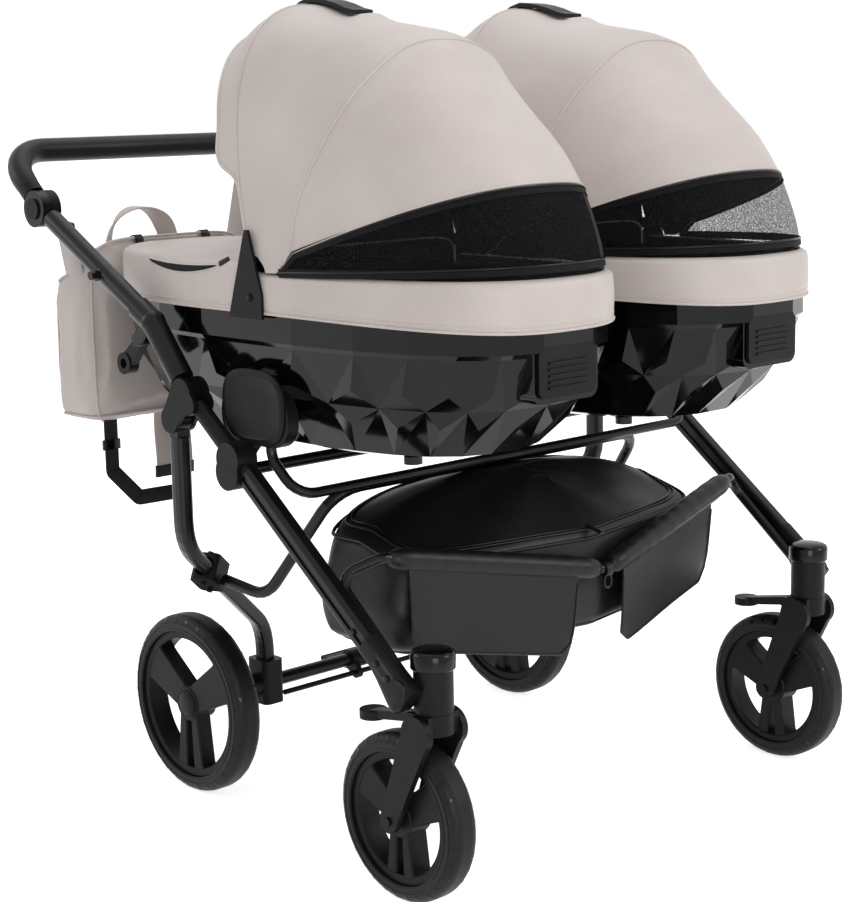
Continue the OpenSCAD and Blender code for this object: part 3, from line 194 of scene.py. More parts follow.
class Build:
    """Collects the faces of one piece, with a material for each."""

    DOME = ((0.75, 0.6), (0.35, 0.92))

    def __init__(self, name):
        self.name = name
        self.verts = []
        self.faces = []
        self.which = []
        self.mats = []

    def face(self, ids, mat):
        if mat not in self.mats:
            self.mats.append(mat)
        self.faces.append(ids)
        self.which.append(self.mats.index(mat))

    def grid(self, rows, mat, around=False, ends=False, flip=False, pick=None):
        """Faces between rows of points; around joins each row's end to its start."""
        base = len(self.verts)
        n = len(rows)
        w = len(rows[0])
        for row in rows:
            self.verts.extend(tuple(p) for p in row)
        for i in range(n - 1):
            a = base + i * w
            b = a + w
            for j in range(w if around else w - 1):
                k = (j + 1) % w
                ids = [a + j, a + k, b + k, b + j]
                self.face(ids[::-1] if flip else ids, pick(j) if pick else mat)
        if ends:
            first = [base + j for j in range(w)]
            last = [base + (n - 1) * w + j for j in range(w)]
            self.face(first if flip else first[::-1], mat)
            self.face(last[::-1] if flip else last, mat)

    def cloth(self, rows, thick, mat, inside, flip=False, pick=None):
        """A sheet with thickness: the rows are its outer face, and its edges are closed."""
        grid = np.array([[tuple(p) for p in row] for row in rows], float)
        normal = np.cross(np.gradient(grid, axis=1), np.gradient(grid, axis=0))
        length = np.linalg.norm(normal, axis=2, keepdims=True)
        normal = normal / np.maximum(length, 1e-9)
        if flip:
            normal = -normal
        back = grid - normal * thick
        self.grid(grid, mat, flip=flip, pick=pick)
        self.grid(back, inside, flip=not flip)
        self.grid([grid[0], back[0]], mat, flip=not flip)
        self.grid([grid[-1], back[-1]], mat, flip=flip)
        self.grid([grid[:, 0], back[:, 0]], mat, flip=flip)
        self.grid([grid[:, -1], back[:, -1]], mat, flip=not flip)

    def tube(self, path, r, mat, n=8, closed=False):
        """Round rod along a path, domed at its ends unless closed; r is one radius or a list."""
        pts, axes = frames_along(path, closed)
        radii = r if isinstance(r, list) else [r] * len(pts)
        rows = []
        for p, (tan, side, up), k in zip(pts, axes, radii):
            rows.append([p + side * k * c + up * k * s for c, s in circle(n)])
        first, last = rows[0], rows[-1]
        if closed:
            rows.append(first)
        else:
            for share, out in self.DOME:
                c = pts[0] - axes[0][0] * radii[0] * out
                rows.insert(0, [c + (q - pts[0]) * share for q in first])
                c = pts[-1] + axes[-1][0] * radii[-1] * out
                rows.append([c + (q - pts[-1]) * share for q in last])
        self.grid(rows, mat, around=True, ends=not closed, flip=True)

    def ribbon(self, path, across, w, t, mat, edge=0.8):
        """A flat strap along a path; across is its width direction, or one for each point."""
        pts, axes = frames_along(path)
        section = bevelled(w / 2, -w / 2, -t / 2, t / 2, min(edge, t / 2 * 0.9))
        rows = []
        for i, p in enumerate(pts):
            tan = axes[i][0]
            a = Vector(across[i]) if isinstance(across, list) else Vector(across)
            a = (a - tan * a.dot(tan)).normalized()
            up = tan.cross(a)
            rows.append([p + a * x + up * z for x, z in section])
        self.grid(rows, mat, around=True, ends=True, flip=True)

    def lathe(self, centre, axis, profile, mat, n):
        """Turned form: profile pairs are (radius, height along the axis)."""
        axis = Vector(axis).normalized()
        ref = Vector((0, 0, 1)) if abs(axis.z) < 0.9 else Vector((1, 0, 0))
        u = axis.cross(ref).normalized()
        v = axis.cross(u)
        c = Vector(centre)
        rows = [[c + axis * h + u * r * x + v * r * y for x, y in circle(n)] for r, h in profile]
        self.grid(rows, mat, around=True, ends=True)

    def screw(self, centre, axis, r, mat, dark):
        """Domed screw head with a hexagon socket."""
        dome = [(r, -1.0), (r, r * 0.25), (r * 0.86, r * 0.5), (r * 0.5, r * 0.62)]
        self.lathe(centre, axis, dome, mat, 18)
        c = Vector(centre) + Vector(axis).normalized() * r * 0.62
        self.lathe(c, axis, [(r * 0.5, 0.0), (r * 0.42, 0.05), (r * 0.42, 0.12)], dark, 6)

    def done(self, sharp=40):
        """The piece as an object, smooth but for edges sharper than this angle."""
        me = bpy.data.meshes.new(self.name)
        me.from_pydata([tuple(c * MM for c in v) for v in self.verts], [], self.faces)
        for m in self.mats:
            me.materials.append(m)
        me.polygons.foreach_set("material_index", self.which)
        me.polygons.foreach_set("use_smooth", [True] * len(me.polygons))
        me.update()
        me.validate()
        me.set_sharp_from_angle(angle=math.radians(sharp))
        ob = bpy.data.objects.new(self.name, me)
        bpy.context.scene.collection.objects.link(ob)
        return ob


# Finishes


class Finish:
    """One procedural material, in object coordinates."""

    def __init__(self, name, spec, sheen=0.0):
        self.mat = bpy.data.materials.new(name)
        self.mat.use_nodes = True
        self.tree = self.mat.node_tree
        self.shader = self.tree.nodes["Principled BSDF"]
        self.shader.inputs["Specular IOR Level"].default_value = spec
        self.shader.inputs["Sheen Weight"].default_value = sheen
        self.place = self.tree.nodes.new("ShaderNodeTexCoord").outputs["Object"]

    def link(self, a, b):
        self.tree.links.new(a, b)

    def noise(self, scale, detail):
        n = self.tree.nodes.new("ShaderNodeTexNoise")
        n.inputs["Scale"].default_value = scale
        n.inputs["Detail"].default_value = detail
        self.link(self.place, n.inputs["Vector"])
        return n.outputs["Fac"]

    def cells(self, scale, feature="DISTANCE_TO_EDGE"):
        n = self.tree.nodes.new("ShaderNodeTexVoronoi")
        n.feature = feature
        n.inputs["Scale"].default_value = scale
        self.link(self.place, n.inputs["Vector"])
        return n.outputs["Distance"]

    def bands(self, axis, scale):
        n = self.tree.nodes.new("ShaderNodeTexWave")
        n.bands_direction = axis
        n.inputs["Scale"].default_value = scale
        self.link(self.place, n.inputs["Vector"])
        return n.outputs["Fac"]

    def math(self, op, a, b):
        n = self.tree.nodes.new("ShaderNodeMath")
        n.operation = op
        for i, x in enumerate((a, b)):
            if isinstance(x, (int, float)):
                n.inputs[i].default_value = x
            else:
                self.link(x, n.inputs[i])
        return n.outputs["Value"]

    def blend(self, a, share_a, b, share_b):
        """Sum of two patterns, each times its share."""
        return self.math("ADD", self.math("MULTIPLY", a, share_a), self.math("MULTIPLY", b, share_b))

    def spread(self, fac, low, high, start=0.0, end=1.0):
        """A pattern's stretch from start to end, mapped to low and high."""
        n = self.tree.nodes.new("ShaderNodeMapRange")
        for key, value in (("From Min", start), ("From Max", end), ("To Min", low), ("To Max", high)):
            n.inputs[key].default_value = value
        self.link(fac, n.inputs["Value"])
        return n.outputs["Result"]

    def colour(self, fac, low, high):
        n = self.tree.nodes.new("ShaderNodeValToRGB")
        for stop, position, tone in zip(n.color_ramp.elements, (0.3, 0.7), (low, high)):
            stop.position = position
            stop.color = (*tone, 1)
        self.link(fac, n.inputs["Fac"])
        self.link(n.outputs["Color"], self.shader.inputs["Base Color"])

    def rough(self, fac, low, high):
        self.link(self.spread(fac, low, high), self.shader.inputs["Roughness"])

    def bump(self, height, strength, depth_mm):
        n = self.tree.nodes.new("ShaderNodeBump")
        n.inputs["Strength"].default_value = strength
        n.inputs["Distance"].default_value = depth_mm * MM
        self.link(height, n.inputs["Height"])
        self.link(n.outputs["Normal"], self.shader.inputs["Normal"])


def grey(v):
    return (v, v, v * 1.04)


def hard_black(name, low, high, r0, r1, grain, depth, spec):
    """Paint, plastic or rubber: tone from low to high, roughness from r0 to r1, grain depth deep."""
    f = Finish(name, spec)
    f.colour(f.noise(14, 5), grey(low), grey(high))
    f.rough(f.noise(45, 4), r0, r1)
    f.bump(f.noise(grain, 2), 0.25, depth)
    return f.mat


def leather(name, low, high, r0, r1, sheen=0.05, spec=0.4):
    f = Finish(name, spec, sheen)
    pores = f.cells(430)
    f.colour(f.blend(f.noise(9, 4), 0.75, pores, 0.6), low, high)
    f.rough(f.noise(60, 4), r0, r1)
    f.bump(f.math("ADD", pores, f.math("MULTIPLY", f.noise(120, 3), 0.5)), 0.3, 0.35)
    return f.mat


def woven(name, low, high, pitch, r0, r1, spec=0.3, sheen=0.15):
    """Cloth with threads a pitch apart, in millimetres."""
    f = Finish(name, spec, sheen)
    scale = 0.314 / (pitch * MM)
    level = f.math("ADD", f.bands("X", scale), f.bands("Y", scale))
    threads = f.math("MULTIPLY", level, f.bands("Z", scale))
    f.colour(f.blend(threads, 0.3, f.noise(18, 4), 0.7), low, high)
    f.rough(f.noise(80, 3), r0, r1)
    f.bump(threads, 0.5, 0.3)
    return f.mat


def net(name):
    f = Finish(name, 0.2)
    holes = f.cells(620, "F1")
    f.colour(f.noise(300, 2), grey(0.004), grey(0.012))
    f.rough(f.noise(50, 2), 0.7, 0.9)
    f.link(f.spread(holes, 0.06, 0.55, 0.3, 0.7), f.shader.inputs["Alpha"])
    return f.mat


PAINT = hard_black("satin_black_paint", 0.003, 0.006, 0.24, 0.34, 900, 0.03, 0.24)
PLASTIC = hard_black("moulded_black_plastic", 0.004, 0.008, 0.34, 0.5, 1500, 0.06, 0.13)
SHELL = hard_black("gloss_black_shell", 0.001, 0.003, 0.05, 0.11, 260, 0.015, 0.24)
RUBBER = hard_black("tyre_rubber", 0.003, 0.008, 0.4, 0.55, 700, 0.12, 0.2)
GLOSS = hard_black("gloss_black_plastic", 0.002, 0.005, 0.12, 0.22, 700, 0.03, 0.22)
BEIGE = leather("beige_imitation_leather", (0.525, 0.465, 0.44), (0.60, 0.54, 0.513), 0.42, 0.56)
# Piping in the cover's beige, with its lighter top tone a painted highlight on the raised seams
PIPING = leather("beige_piping_painted_highlight", (0.53, 0.465, 0.44), (0.64, 0.575, 0.55), 0.42, 0.55)
BLACK = leather("black_imitation_leather", grey(0.004), grey(0.009), 0.32, 0.46, 0.0, 0.24)
WEB = woven("black_webbing", grey(0.006), grey(0.018), 2.2, 0.6, 0.8, 0.15, 0.02)
PALE = woven("pale_cotton", (0.60, 0.58, 0.55), (0.78, 0.76, 0.73), 1.2, 0.75, 0.9)
LINING = woven("dark_lining", grey(0.012), grey(0.03), 1.0, 0.7, 0.9, 0.1, 0.02)
NET = net("black_net")
ZIP = woven("zip_tape", grey(0.003), grey(0.008), 1.4, 0.5, 0.7, 0.1, 0.0)
COVER_T = 2.5

PAINTED = ("front_leg", "rear_leg", "rear_cross", "front_cross", "basket_bow", "rear_axle",
           "basket_hoop", "push_tube", "handlebar")
for name, ob in nodes.items():
    mat = PLASTIC
    if name.startswith("cot_shell"):
        mat = SHELL
    elif "tyre" in name:
        mat = RUBBER
    elif name.startswith(PAINTED):
        mat = PAINT
    ob.data.materials.clear()
    ob.data.materials.append(mat)


# Hoods


HOOD_X = COT_HALF_X * 0.985
HOOD_R = 326
HOOD_Z = 768.3
HOOD_ROUND = 2.5
# Share of the hood's reach at each lean from upright, in degrees
REACH = [(-90, 1.145), (-77, 1.1), (-64, 1.05), (-50, 0.99), (-40, 0.98), (-30, 1.01), (-15, 0.98),
         (0, 0.985), (14, 1.07), (26, 1.05)]
RIM_LEAN = -90
ZIP_LEAN = -73
MID_LEAN = -30
FRONT_LEAN = 14
VISOR_TURN = 12
# Lean of the sewn line at each angle up from its foot
SEAM = [(0, -89), (6, -80), (15, -48), (30, -37), (60, -32), (90, -30)]
GRIP_ENDS = (FRONT_LEAN - 19, FRONT_LEAN + 10)
HOOD_COLUMNS = 84
HOOD_ROWS = (8, 18, 30, 8)


def hood_point(lean, t, inset=0.0):
    """Hood at a lean from upright and at an angle t round its bow, in the cot's own frame."""
    qx, qy = superellipse(t, HOOD_ROUND)
    x = (HOOD_X - inset) * qx
    sag = 3.0 * math.sin(math.pi * ease(MID_LEAN, FRONT_LEAN, lean))
    sag += 2.0 * math.sin(math.pi * ease(-80, MID_LEAN, lean))
    horn = sum(9.0 * math.exp(-((lean - end) / 3.2) ** 2 - (x / 24) ** 4) for end in GRIP_ENDS)
    r = (HOOD_R * smooth_table(REACH, lean) - inset - (sag - horn) * qy) * qy
    a = math.radians(lean)
    return Vector((x, HINGE_Y + r * math.sin(a), HOOD_Z + r * math.cos(a)))


def foot_angle(t):
    """Angle up from the nearer foot of the bow."""
    return min(t, 180 - t)


def seam_lean(t):
    """The sewn line over the middle bow, which runs back to the rim at its feet."""
    return smooth_table(SEAM, foot_angle(t))


def zip_lean(t):
    """Where the zip over the net crosses this line of the hood."""
    return mix(-89.5, ZIP_LEAN, ease(3.5, 10, foot_angle(t)))


def visor_lean(t):
    """Edge of the visor, which runs out in a flared lobe above each hinge."""
    foot = foot_angle(t)
    turn = 0.6 + (VISOR_TURN - 0.6) * ease(13, 22, foot)
    return FRONT_LEAN + turn + 3.5 * math.exp(-((foot - 24) / 5) ** 2)


def cot(side, p):
    """Point of a cot's own frame, in the frame of the whole pram."""
    return Vector((p[0] + side * COT_X, p[1] + COT_Y, p[2]))


def hood(word, side):
    b = Build("hood_" + word)
    ts = [mix(178, 2, j / HOOD_COLUMNS) for j in range(HOOD_COLUMNS + 1)]
    edges = (lambda t: RIM_LEAN, zip_lean, lambda t: MID_LEAN, lambda t: FRONT_LEAN, visor_lean)
    rows = [[cot(side, hood_point(RIM_LEAN, t)) for t in ts]]
    for low, high, count in zip(edges, edges[1:], HOOD_ROWS):
        for i in range(1, count + 1):
            rows.append([cot(side, hood_point(mix(low(t), high(t), i / count), t)) for t in ts])
    net_rows = HOOD_ROWS[0]
    b.cloth(rows[net_rows:], COVER_T, BEIGE, LINING)
    # The right hood's net is made of the opaque dark lining cloth past 60% of its columns; the left
    # hood's net is see-through all along
    dark_panel_from = HOOD_COLUMNS * 0.6 if word == "right" else HOOD_COLUMNS
    b.cloth(rows[: net_rows + 1], 0.8, NET, NET, pick=lambda j: LINING if j > dark_panel_from else NET)

    def line(lean_at, lift, first=177.0):
        angles = [mix(first, 180 - first, k / 90) for k in range(91)]
        return [cot(side, hood_point(lean_at(t), t, -lift)) for t in angles]

    b.tube(line(seam_lean, 0.3, 175), 1.5, PIPING)
    b.tube(line(lambda t: FRONT_LEAN, 0.4), 1.7, PIPING)
    b.tube(line(visor_lean, 0.0), 2.4, PIPING)
    for lean_at, lift, first in ((zip_lean, 0.7, 174.0), (lambda t: -88.3, 0.8, 175.0)):
        tape = line(lean_at, lift, first)
        over = line(lambda t: lean_at(t) + 1, lift, first)
        b.ribbon(tape, [q - p for p, q in zip(tape, over)], 11.0, 1.4, ZIP)
        b.tube(line(lambda t: lean_at(t) + 0.7, lift + 0.6, first), 1.4, GLOSS)
    b.tube(line(lambda t: zip_lean(t) + 1.3, 0.3, 174), 1.6, PIPING)
    ob = b.done(sharp=50)
    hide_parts("hood_cover_" + word)
    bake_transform(ob)


# Rim bands, aprons and mattresses


RIM_COLUMNS = 84
RIM_ROWS = 14
RIM_WALL = 0.7
RIM_INSET = 1.6
HEMS = (1.5, 9.0)


def rim_outline():
    """Head half of the rim's outline, as shares of its half width and length."""
    return [superellipse(mix(181.4, 358.6, j / RIM_COLUMNS), COT_ROUND) for j in range(RIM_COLUMNS + 1)]


def rim_edge(qy):
    """Height of the band's lower edge, which dips towards the head."""
    return RIM_LOW - 12 * max(0.0, -qy) ** 2


def rim_point(qx, qy, u):
    """Rim band from its lower edge (0) over its bend to its inner edge (1)."""
    if u < RIM_WALL:
        lift = u / RIM_WALL
        out = 1.6 * math.sin(math.pi * lift) - RIM_INSET
        z = mix(rim_edge(qy), RIM_BEND, lift)
    else:
        turn = (u - RIM_WALL) / (1 - RIM_WALL)
        out = -RIM_INSET - 10.4 * turn
        z = RIM_BEND + 5 * math.sin(turn * math.pi / 2)
    return Vector(((COT_HALF_X + out) * qx, (COT_HALF_Y + out) * qy, z))


def rim_band(word, side):
    b = Build("rim_band_" + word)
    rows = []
    for k in range(RIM_ROWS + 1):
        rows.append([cot(side, rim_point(qx, qy, k / RIM_ROWS)) for qx, qy in rim_outline()])
    b.cloth(rows, COVER_T, BEIGE, LINING)
    for lift, r in zip(HEMS, (2.0, 1.0)):
        hem = []
        for qx, qy in rim_outline():
            hem.append(cot(side, ((COT_HALF_X - 1) * qx, (COT_HALF_Y - 1) * qy, rim_edge(qy) + lift)))
        b.tube(hem, r, PIPING)
    ob = b.done(sharp=50)
    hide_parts("rim_cover_" + word)
    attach(ob, "cot_" + word)


APRON_SQUARE = 10
APRON_RISE = 24
APRON_PULL = 3
FLAP_H = 86


def apron_top(qx):
    """Height of the apron's top where the outline is this share of the full width."""
    return RIM_TOP + APRON_RISE * mix(0.4, 1, qx)


def apron_point(u, v):
    """Apron from its edge at the hood (u 0) to the foot end (u 1), and from side to side (v 0 to 1)."""
    qx, qy = superellipse(89.97 * u ** 1.6, COT_ROUND)
    cx, cy = superellipse(180 * (1 - v), APRON_SQUARE)
    dip = 7 * math.sin(math.pi * v) * math.sin(math.pi * min(1.0, u * 1.1))
    z = RIM_LOW + (apron_top(qx) - RIM_LOW) * cy - dip * ease(0.8, 1.0, cy)
    return Vector((COT_HALF_X * qx * cx, COT_HALF_Y * qy - APRON_PULL * (1 - qy), z))


def wind_flap(h, v):
    """Stiff flap that stands up from the apron's edge inside the mouth of the hood."""
    p = apron_point(0.0, v)
    tall = FLAP_H * max(0.0, 1 - abs(2 * (v - 0.5) / 0.84) ** 3) ** 0.5
    p.z += h * max(tall, 3)
    p.y -= 6 * h + 2
    p.x *= 1 - 0.06 * h
    return p


def apron_side(y, z, s, lift):
    """Point of the apron's side wall at this y and height, lift proud of it; s is the side, -1 or 1."""
    qy = (y + APRON_PULL) / (COT_HALF_Y + APRON_PULL)
    qx = (1 - min(1.0, abs(qy)) ** COT_ROUND) ** (1 / COT_ROUND)
    cy = (z - RIM_LOW) / (apron_top(qx) - RIM_LOW)
    cx = (1 - min(1.0, cy) ** APRON_SQUARE) ** (1 / APRON_SQUARE)
    return Vector((s * (COT_HALF_X * qx * cx + lift), y, z))


def apron_pocket(b, side, s):
    """Curved zip pocket in the apron's side wall, with its tab."""
    edges = []
    for way in (-1, -0.3, 0.3, 1):
        row = []
        for k in range(31):
            u = k / 30
            z = 766.5 + 7.5 * (2 * u - 1) ** 2 + way * 4.6 * math.sin(math.pi * u) ** 0.7
            row.append(cot(side, apron_side(mix(44, 217, u), z, s, 1.0 if abs(way) < 1 else 0.3)))
        edges.append(row)
    b.cloth(edges, 1.0, ZIP, ZIP, flip=s > 0)
    b.tube([p + Vector((0, 0, 0.6)) for p in edges[-1]], 1.3, PIPING)
    b.tube([p - Vector((0, 0, 0.6)) for p in edges[0]], 1.3, PIPING)
    tab = [apron_side(mix(40, 24, k / 6), mix(776, 783, k / 6), s, 1.6) for k in range(7)]
    b.ribbon([cot(side, p) for p in tab], Vector((0, 0.4, 1)), 7, 1.6, BLACK)


def apron(word, side):
    b = Build("apron_" + word + "_cover")
    n, m = 56, 96
    rows = [[cot(side, apron_point(i / n, j / m)) for j in range(m + 1)] for i in range(n + 1)]
    b.cloth(rows, COVER_T, BEIGE, LINING)
    for lift, r in zip(HEMS, (1.8, 1.2)):
        for j in (0, m):
            b.tube([Vector((row[j].x, row[j].y, RIM_LOW + lift)) for row in rows], r, PIPING)
    b.tube(rows[0], 2.0, PIPING)
    b.tube([cot(side, (0, COT_HALF_Y + 0.6, mix(717, 777, k / 8))) for k in range(9)], 1.4, PIPING)
    flap = [[cot(side, wind_flap(k / 10, mix(0.1, 0.9, j / 48))) for j in range(49)] for k in range(11)]
    b.cloth(flap, 2.0, LINING, BEIGE)
    b.tube(flap[-1], 1.8, WEB)
    for s in (-1, 1):
        apron_pocket(b, side, s)
    ob = b.done(sharp=50)
    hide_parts("apron_" + word)
    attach(ob, "cot_" + word)


def applied(ob):
    """Put the object's modifiers into its mesh."""
    graph = bpy.context.evaluated_depsgraph_get()
    me = bpy.data.meshes.new_from_object(ob.evaluated_get(graph))
    ob.modifiers.clear()
    old = ob.data
    ob.data = me
    bpy.data.meshes.remove(old)
    me.polygons.foreach_set("use_smooth", [True] * len(me.polygons))


def places(ob):
    """Coordinates of the object's points, one row each."""
    flat = np.empty(len(ob.data.vertices) * 3)
    ob.data.vertices.foreach_get("co", flat)
    return flat.reshape(-1, 3)


PUFF_VOXEL = 5.0
PUFF_FRAMES = 20


def puffed(ob, cap, pressure):
    """Fill a closed pad with air in a short cloth simulation and keep at most cap millimetres of it."""
    scene = bpy.context.scene
    remesh = ob.modifiers.new("remesh", "REMESH")
    remesh.mode = "VOXEL"
    remesh.voxel_size = PUFF_VOXEL * MM
    remesh.use_smooth_shade = True
    applied(ob)
    rest = places(ob)
    cloth = ob.modifiers.new("cloth", "CLOTH")
    cloth.settings.use_pressure = True
    cloth.settings.uniform_pressure_force = pressure
    cloth.settings.effector_weights.gravity = 0
    cloth.point_cache.frame_start = 1
    cloth.point_cache.frame_end = PUFF_FRAMES
    for f in range(1, PUFF_FRAMES + 1):
        scene.frame_set(f)
    applied(ob)
    scene.frame_set(1)
    move = places(ob) - rest
    far = np.linalg.norm(move, axis=1, keepdims=True)
    move *= np.minimum(1.0, cap * MM / np.maximum(far, 1e-9))
    ob.data.vertices.foreach_set("co", (rest + move).ravel())
    ob.data.update()
    return ob


def joined(ob, extra):
    """Add the faces of a second object to the first."""
    with bpy.context.temp_override(active_object=ob, object=ob, selected_objects=[ob, extra],
                                   selected_editable_objects=[ob, extra]):
        bpy.ops.object.join()


MATTRESS_Z = 552
MATTRESS_H = 33
# Share of the cot's inside that the mattress fills, from its underside (0) to its upper edge (1)
MATTRESS_WALL = [(0.0, 0.54), (0.12, 0.6), (0.5, 0.64), (0.8, 0.64), (0.95, 0.6), (1.0, 0.52)]


def mattress_ring(side, share, z):
    ring = [superellipse(360 * j / 72, COT_ROUND) for j in range(72)]
    return [cot(side, (183.6 * share * qx, 401.6 * share * qy, z)) for qx, qy in ring]


def mattress(word, side):
    b = Build("mattress_" + word + "_pad")
    top = MATTRESS_Z + MATTRESS_H
    rows = []
    for k in range(15):
        share = smooth_table(MATTRESS_WALL, k / 14)
        rows.append(mattress_ring(side, share, MATTRESS_Z + MATTRESS_H * k / 14))
    for k in range(1, 9):
        crown = 2 * math.sin(math.pi / 2 * k / 8)
        rows.append(mattress_ring(side, MATTRESS_WALL[-1][1] * (1 - k / 8.5), top + crown))
    b.grid(rows, PALE, around=True, ends=True)
    ob = puffed(b.done(sharp=60), 5, 4.0)
    c = Build("mattress_seam_" + word)
    for share, z in ((0.655, top - 5), (0.63, MATTRESS_Z + 6)):
        c.tube(mattress_ring(side, share, z), 1.8, PALE, closed=True)
    joined(ob, c.done())
    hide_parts("mattress_" + word)
    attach(ob, "cot_" + word)


# Basket, rolls and flaps


BASKET_HALF_X = 310
BASKET_HALF_Y = 96
BASKET_Y = -338
BASKET_LOW = 268
BASKET_BACK = 459.4
BASKET_FRONT = 392
BASKET_COUNT = 120
BASKET_LID = 0.89
# Share of the basket's outline from its floor (0) to its lid (1)
BASKET_WALL = [(0, 0.84), (0.03, 0.9), (0.12, 0.965), (0.42, 1.0), (0.7, 0.968), (0.95, 0.93),
               (1, BASKET_LID)]


def basket_ring(k, zs, lift):
    """Ring at a share k of the outline and zs of the height, which falls to the front and the ends."""
    row = []
    for j in range(BASKET_COUNT):
        qx, qy = superellipse(360 * j / BASKET_COUNT, 6)
        y0 = BASKET_Y + k * qy * BASKET_HALF_Y
        y = y0 - 52 * (1 - abs(qx)) * max(0.0, -qy)
        front = max(0.0, (BASKET_Y - y0) / BASKET_HALF_Y)
        end = min(1.0, abs(k * qx) / 0.9) ** 3
        top = mix(BASKET_BACK, BASKET_FRONT, front) - 40 * end * (1 - front)
        row.append(Vector((BASKET_HALF_X * k * qx, y + AXLE_Y, mix(BASKET_LOW, top, zs) + lift)))
    return row


def basket():
    b = Build("basket_body")
    rows = [basket_ring(smooth_table(BASKET_WALL, k / 28), k / 28, 0) for k in range(29)]
    wall_rows = len(rows)
    for k in range(1, 19):
        u = k / 18
        rows.append(basket_ring(mix(BASKET_LID, 0.02, u), 1, 13 * math.sin(math.pi / 2 * u)))
    for i, row in enumerate(rows):
        for p in row:
            p.z += wobble(p, 80, 2.4)
            p.y += wobble(p, 60, 1.6, 5.0) * (i < wall_rows)
    b.grid(rows, BLACK, around=True, ends=True)
    b.tube(basket_ring(0.937, 0.955, 1.0), 2.6, BLACK, closed=True)
    b.tube(basket_ring(0.87, 1.0, 1.6), 2.0, BLACK, closed=True)
    b.tube(basket_ring(0.845, 1.0, 2.6), 1.5, GLOSS, closed=True)
    b.tube(basket_ring(0.9, 0.035, 0.0), 2.4, BLACK, closed=True)
    front = basket_ring(0.845, 1.0, 4.0)[BASKET_COUNT * 3 // 4]
    pull = [front + Vector((0, -k * 3.4, 1.0 - 0.9 * k)) for k in range(9)]
    b.ribbon(pull, Vector((1, 0, 0)), 8, 2.4, GLOSS)
    ob = b.done(sharp=60)
    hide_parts("basket")
    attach(ob, "chassis")


BOW_IN = Vector((345, -440 + AXLE_Y, 418))
BOW_TIP = Vector((0, -505 + AXLE_Y, 352))
ROLL_END = 22
ROLL_R = 15.5
FLAP_DROP = 112
FLAP_SPAN = {"right": (0.05, 0.9), "left": (0.16, 0.97)}


def bow_cover(word, side):
    """Padded roll on one arm of the basket bow, with the flap that hangs from it."""
    b = Build("bow_roll_" + word)
    a = Vector((side * BOW_IN.x, BOW_IN.y, BOW_IN.z))
    d = (BOW_TIP - a).normalized()
    p = a + d * ROLL_END
    q = BOW_TIP - d * ROLL_END
    n = 48
    path = [p.lerp(q, k / n) for k in range(n + 1)]
    radii = [ROLL_R - 2.4 * (abs(2 * k / n - 1) ** 12) - 0.3 * math.cos(k * 1.3) for k in range(n + 1)]
    b.tube(path, radii, BLACK, 24)
    out = d.cross(Vector((0, 0, 1))).normalized()
    if out.y > 0:
        out = -out
    rows = []
    for i in range(19):
        u = i / 18
        row = []
        for k in range(n + 1):
            t = k / n
            corner = 16 * max(0.0, abs(2 * t - 1) - 0.86) / 0.14
            drop = 9 + (FLAP_DROP - corner * ease(0.6, 1.0, u)) * u
            along = mix(*FLAP_SPAN[word], t) + 0.05 * u * (0.5 - t)
            belly = 2.5 * math.sin(math.pi * u) + 0.9 * math.sin(7 * t + 2 * u)
            row.append(p.lerp(q, along) + out * (9 * (1 - u) ** 2 + belly) + Vector((0, 0, -drop)))
        rows.append(row)
    b.cloth(rows, 2.6, BLACK, BLACK, flip=side < 0)
    hem = [row[0] for row in rows[2:]] + rows[-1][1:-1] + [row[-1] for row in rows[:1:-1]]
    b.tube(hem, 1.7, BLACK)
    ob = b.done(sharp=60)
    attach(ob, "chassis")
    return ob


def tip_ring():
    """Ring on a strap round the tip of the basket bow."""
    b = Build("bow_tip_ring")
    c = BOW_TIP + Vector((0, -3, -16))
    b.tube([c + Vector((7 * x, 0, 9 * z)) for x, z in circle(28)], 1.7, GLOSS, 10, closed=True)
    strap = [BOW_TIP + Vector((0, 8.5 * y, 8.5 * z)) for y, z in circle(24)]
    b.ribbon(strap, Vector((1, 0, 0)), 13, 2.4, BLACK)
    ob = b.done(sharp=60)
    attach(ob, "chassis")


# Handle cover


GRIP_R = 17.3
GRIP_START = 42


def handle_grip():
    b = Build("handle_cover")
    joint = Vector((BAR_X, 200 + AXLE_Y, 838))
    corner = Vector((BAR_X, BAR_Y, BAR_Z))
    way = (corner - joint).normalized()
    start = joint + way * GRIP_START
    mirror = Vector((-1, 1, 1))
    path = refined(rounded_path([start * mirror, corner * mirror, corner, start], 62, 10), 14)
    n = len(path)
    b.tube(path, [GRIP_R - 1.6 * abs(2 * k / (n - 1) - 1) ** 30 for k in range(n)], BLACK, 28)
    pts, axes = frames_along(path)
    b.tube([p - up * (GRIP_R - 0.4) for p, (tan, across, up) in zip(pts, axes)], 1.0, BLACK, 6)
    ob = b.done(sharp=60)
    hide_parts("handle_grip")
    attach(ob, "handle")


# Changing bag


BAG = Vector((-188, 246.5 + AXLE_Y, 520))
BAG_HALF_X = 150
BAG_HALF_Y = 50.5
BAG_WALL = 205
BAG_RIDGE_Y = -26
# Share of the bag's outline from its floor (0) to its top edge (1)
BAG_SIDE = [(0, 0.92), (0.03, 0.965), (0.08, 0.99), (0.3, 1.0), (0.85, 0.985), (1, 0.95)]
ACROSS = Vector((1, 0, 0))


def bag_height(qx, qy):
    """The front wall stands higher than the back one, and both dip at the corners."""
    return BAG_WALL + mix(62, -12, (qy + 1) / 2) * (1 - 0.45 * abs(qx) ** 6)


